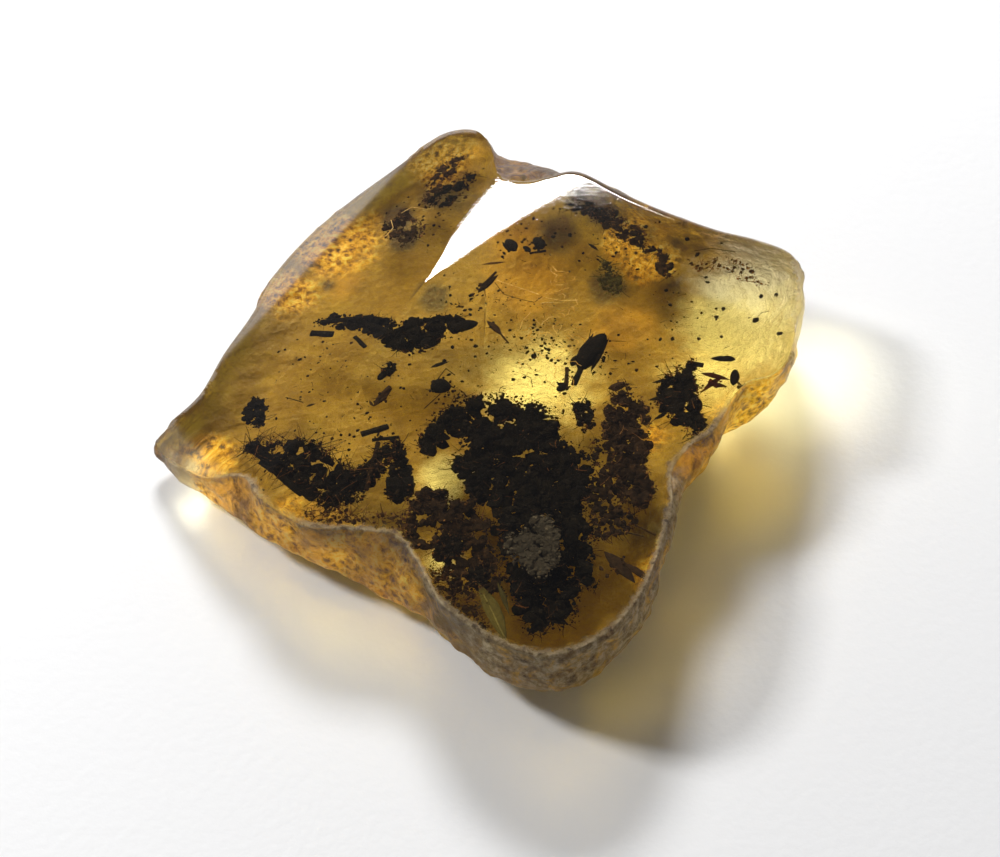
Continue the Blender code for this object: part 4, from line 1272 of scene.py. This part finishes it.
# Each speck: x and y in mm, and size.
SPECKS = (
    (2.8, 10.5, 0.35), (5.7, 11.8, 0.4), (-0.9, 6.5, 0.35), (3.2, 1.2, 0.48), (-0.5, 2.1, 0.4),
    (-0.8, 2.6, 0.25), (13.5, 11.1, 0.4), (14.1, 9.7, 0.45), (15.8, 10.7, 0.45), (14.6, 7.1, 0.35),
    (15.5, 4.8, 0.4), (15.0, 4.1, 0.4), (15.2, 2.3, 0.3), (12.1, 5.3, 0.3), (11.9, 6.6, 0.3),
    (17.5, 3.7, 0.45), (19.0, 5.9, 0.4), (18.9, 2.4, 0.4), (11.3, 2.2, 0.35), (18.0, 5.8, 0.4),
    (-2.5, 1.0, 0.4), (2.6, -0.6, 0.3), (1.9, -0.8, 0.3),
)
spots = np.array([(x, y) for x, y, size in SPECKS])
heap.scatter(crumbs, lifted(spots, rng.uniform(-0.2, 0.2, len(spots))),
             np.array([size for x, y, size in SPECKS]), 0.8, 0.3, rng.uniform(0.05, 0.35, len(spots)))
# Each cloud: x and y in mm, radius, and number of specks.
SPECK_CLOUDS = (
    (3.6, 2.2, 2.4, 260), (0.5, 5.5, 3.0, 130), (7.5, 0.5, 1.8, 90), (-8.0, -2.5, 4.5, 120),
    (-10.5, 2.0, 2.5, 50), (3.0, 12.0, 3.0, 90), (12.5, 4.0, 3.5, 80), (-2.0, -1.5, 1.8, 80),
    (-11.0, -6.5, 2.6, 110), (4.2, -3.6, 1.4, 70), (8.5, 11.5, 3.0, 110), (-3.0, 14.0, 3.0, 90),
)
for x, y, radius, count in SPECK_CLOUDS:
    spots = np.array((x, y)) + rng.normal(0, radius / 1.8, (count, 2))
    levels = rng.uniform(-1.0, 1.0, count)
    heap.scatter(crumbs, lifted(spots, levels), 0.06 + 0.26 * rng.uniform(0, 1, count) ** 3, 0.7, 0.5,
                 rng.uniform(0.05, 0.6, count))
    few = max(4, count // 7)
    headings = rng.uniform(0, FULL_TURN, few)
    heap.strands(lifted(spots[:few], levels[:few]), headings, rng.uniform(0.2, 0.6, few),
                 rng.uniform(0.03, 0.06, few), rng.uniform(0.1, 0.6, few))
heap.laid(PIN, (8.0, 2.2), (9.4, 2.1), 0.14, 0.14, 0.1, 0.4)
heap.laid(STICK, (3.0, 10.1), (4.1, 10.3), 0.22, 0.2, 0.3, 0.2)
heap.laid(BLADE, (-0.2, 9.1), (1.5, 9.3), 0.22, 0.15, 0.5, 0.7)
heap.laid(BLADE, (6.9, 11.0), (7.6, 10.3), 0.25, 0.2, 0.0, 0.4)
heap.laid(STICK, (-1.8, 5.6), (-1.3, 5.6), 0.12, 0.12, 0.0, 0.2)
heap.laid(BLADE, (-3.4, 0.4), (-2.2, 0.9), 0.3, 0.2, 0.0, 0.35)
heap.laid(STICK, (-12.4, -1.6), (-11.2, -2.2), 0.08, 0.08, 0.0, 0.3)
heap.laid(BLADE, (-11.0, -2.6), (-10.4, -2.4), 0.2, 0.15, 0.0, 0.1)
heap.thread([(0.7, 7.7), (1.3, 6.6), (2.4, 6.1), (3.3, 5.8), (3.8, 6.3)], 0.05, 0.0, 0.4)
heap.thread([(2.4, -0.3), (3.0, -0.7), (3.1, -1.5)], 0.05, 0.0, 0.4)
heap.thread([(13.9, 10.0), (15.0, 10.2), (16.6, 9.8)], 0.06, 0.0, 0.4)
heap.thread([(17.5, 3.7), (17.9, 4.3), (18.4, 4.4)], 0.05, 0.0, 0.3)
heap.finish("loose_specks", FINISHES["black_debris"], "black_debris")

# %% [markdown]
# Hair-fine cracks near the middle catch the light and shine like gold wire; that shine is a painted glint,
# a bright gold colour on thin threads. Each is a short walk of a few steps that turns a little at random,
# drawn as a thread of thin sticks.

# %% Cracks with a painted gold glint
# Each patch: x and y in mm, half its width and height, and number of cracks.
CRACKED = ((4.1, 2.2, 2.0, 3.2, 46), (3.6, 7.0, 2.2, 1.8, 26))
CRACK_STEP = 0.28

heap = Heap(41)
rng = heap.rng
for x, y, wide, high, count in CRACKED:
    for _ in range(count):
        spot = np.array((x + rng.uniform(-wide, wide), y + rng.uniform(-high, high)))
        heading = rng.uniform(0, FULL_TURN)
        route = [spot]
        for _ in range(rng.integers(2, 5)):
            heading += rng.normal(0, 0.9)
            spot = spot + CRACK_STEP * np.array((math.cos(heading), math.sin(heading)))
            route.append(spot)
        heap.thread(route, 0.035, rng.uniform(-0.4, 0.6), rng.uniform(0.1, 0.8))
for spots in ([(0.8, 7.8), (2.4, 7.0), (3.6, 6.4)], [(4.5, 8.9), (4.8, 8.4), (5.3, 8.4)], [(4.7, 7.2),
    (5.2, 7.2)],
              [(4.0, 6.1), (5.0, 5.8), (6.1, 5.8)], [(3.0, 4.8), (2.5, 4.1), (2.3, 3.3)],
              [(-5.6, 14.8), (-4.9, 15.3), (-4.0, 15.0)], [(-6.6, 12.6), (-6.1, 13.4), (-6.3, 14.2)]):
    heap.thread(spots, 0.05, 0.2, 0.7)
heap.finish("painted_glint_cracks", FINISHES["painted_glint_gold"], None)
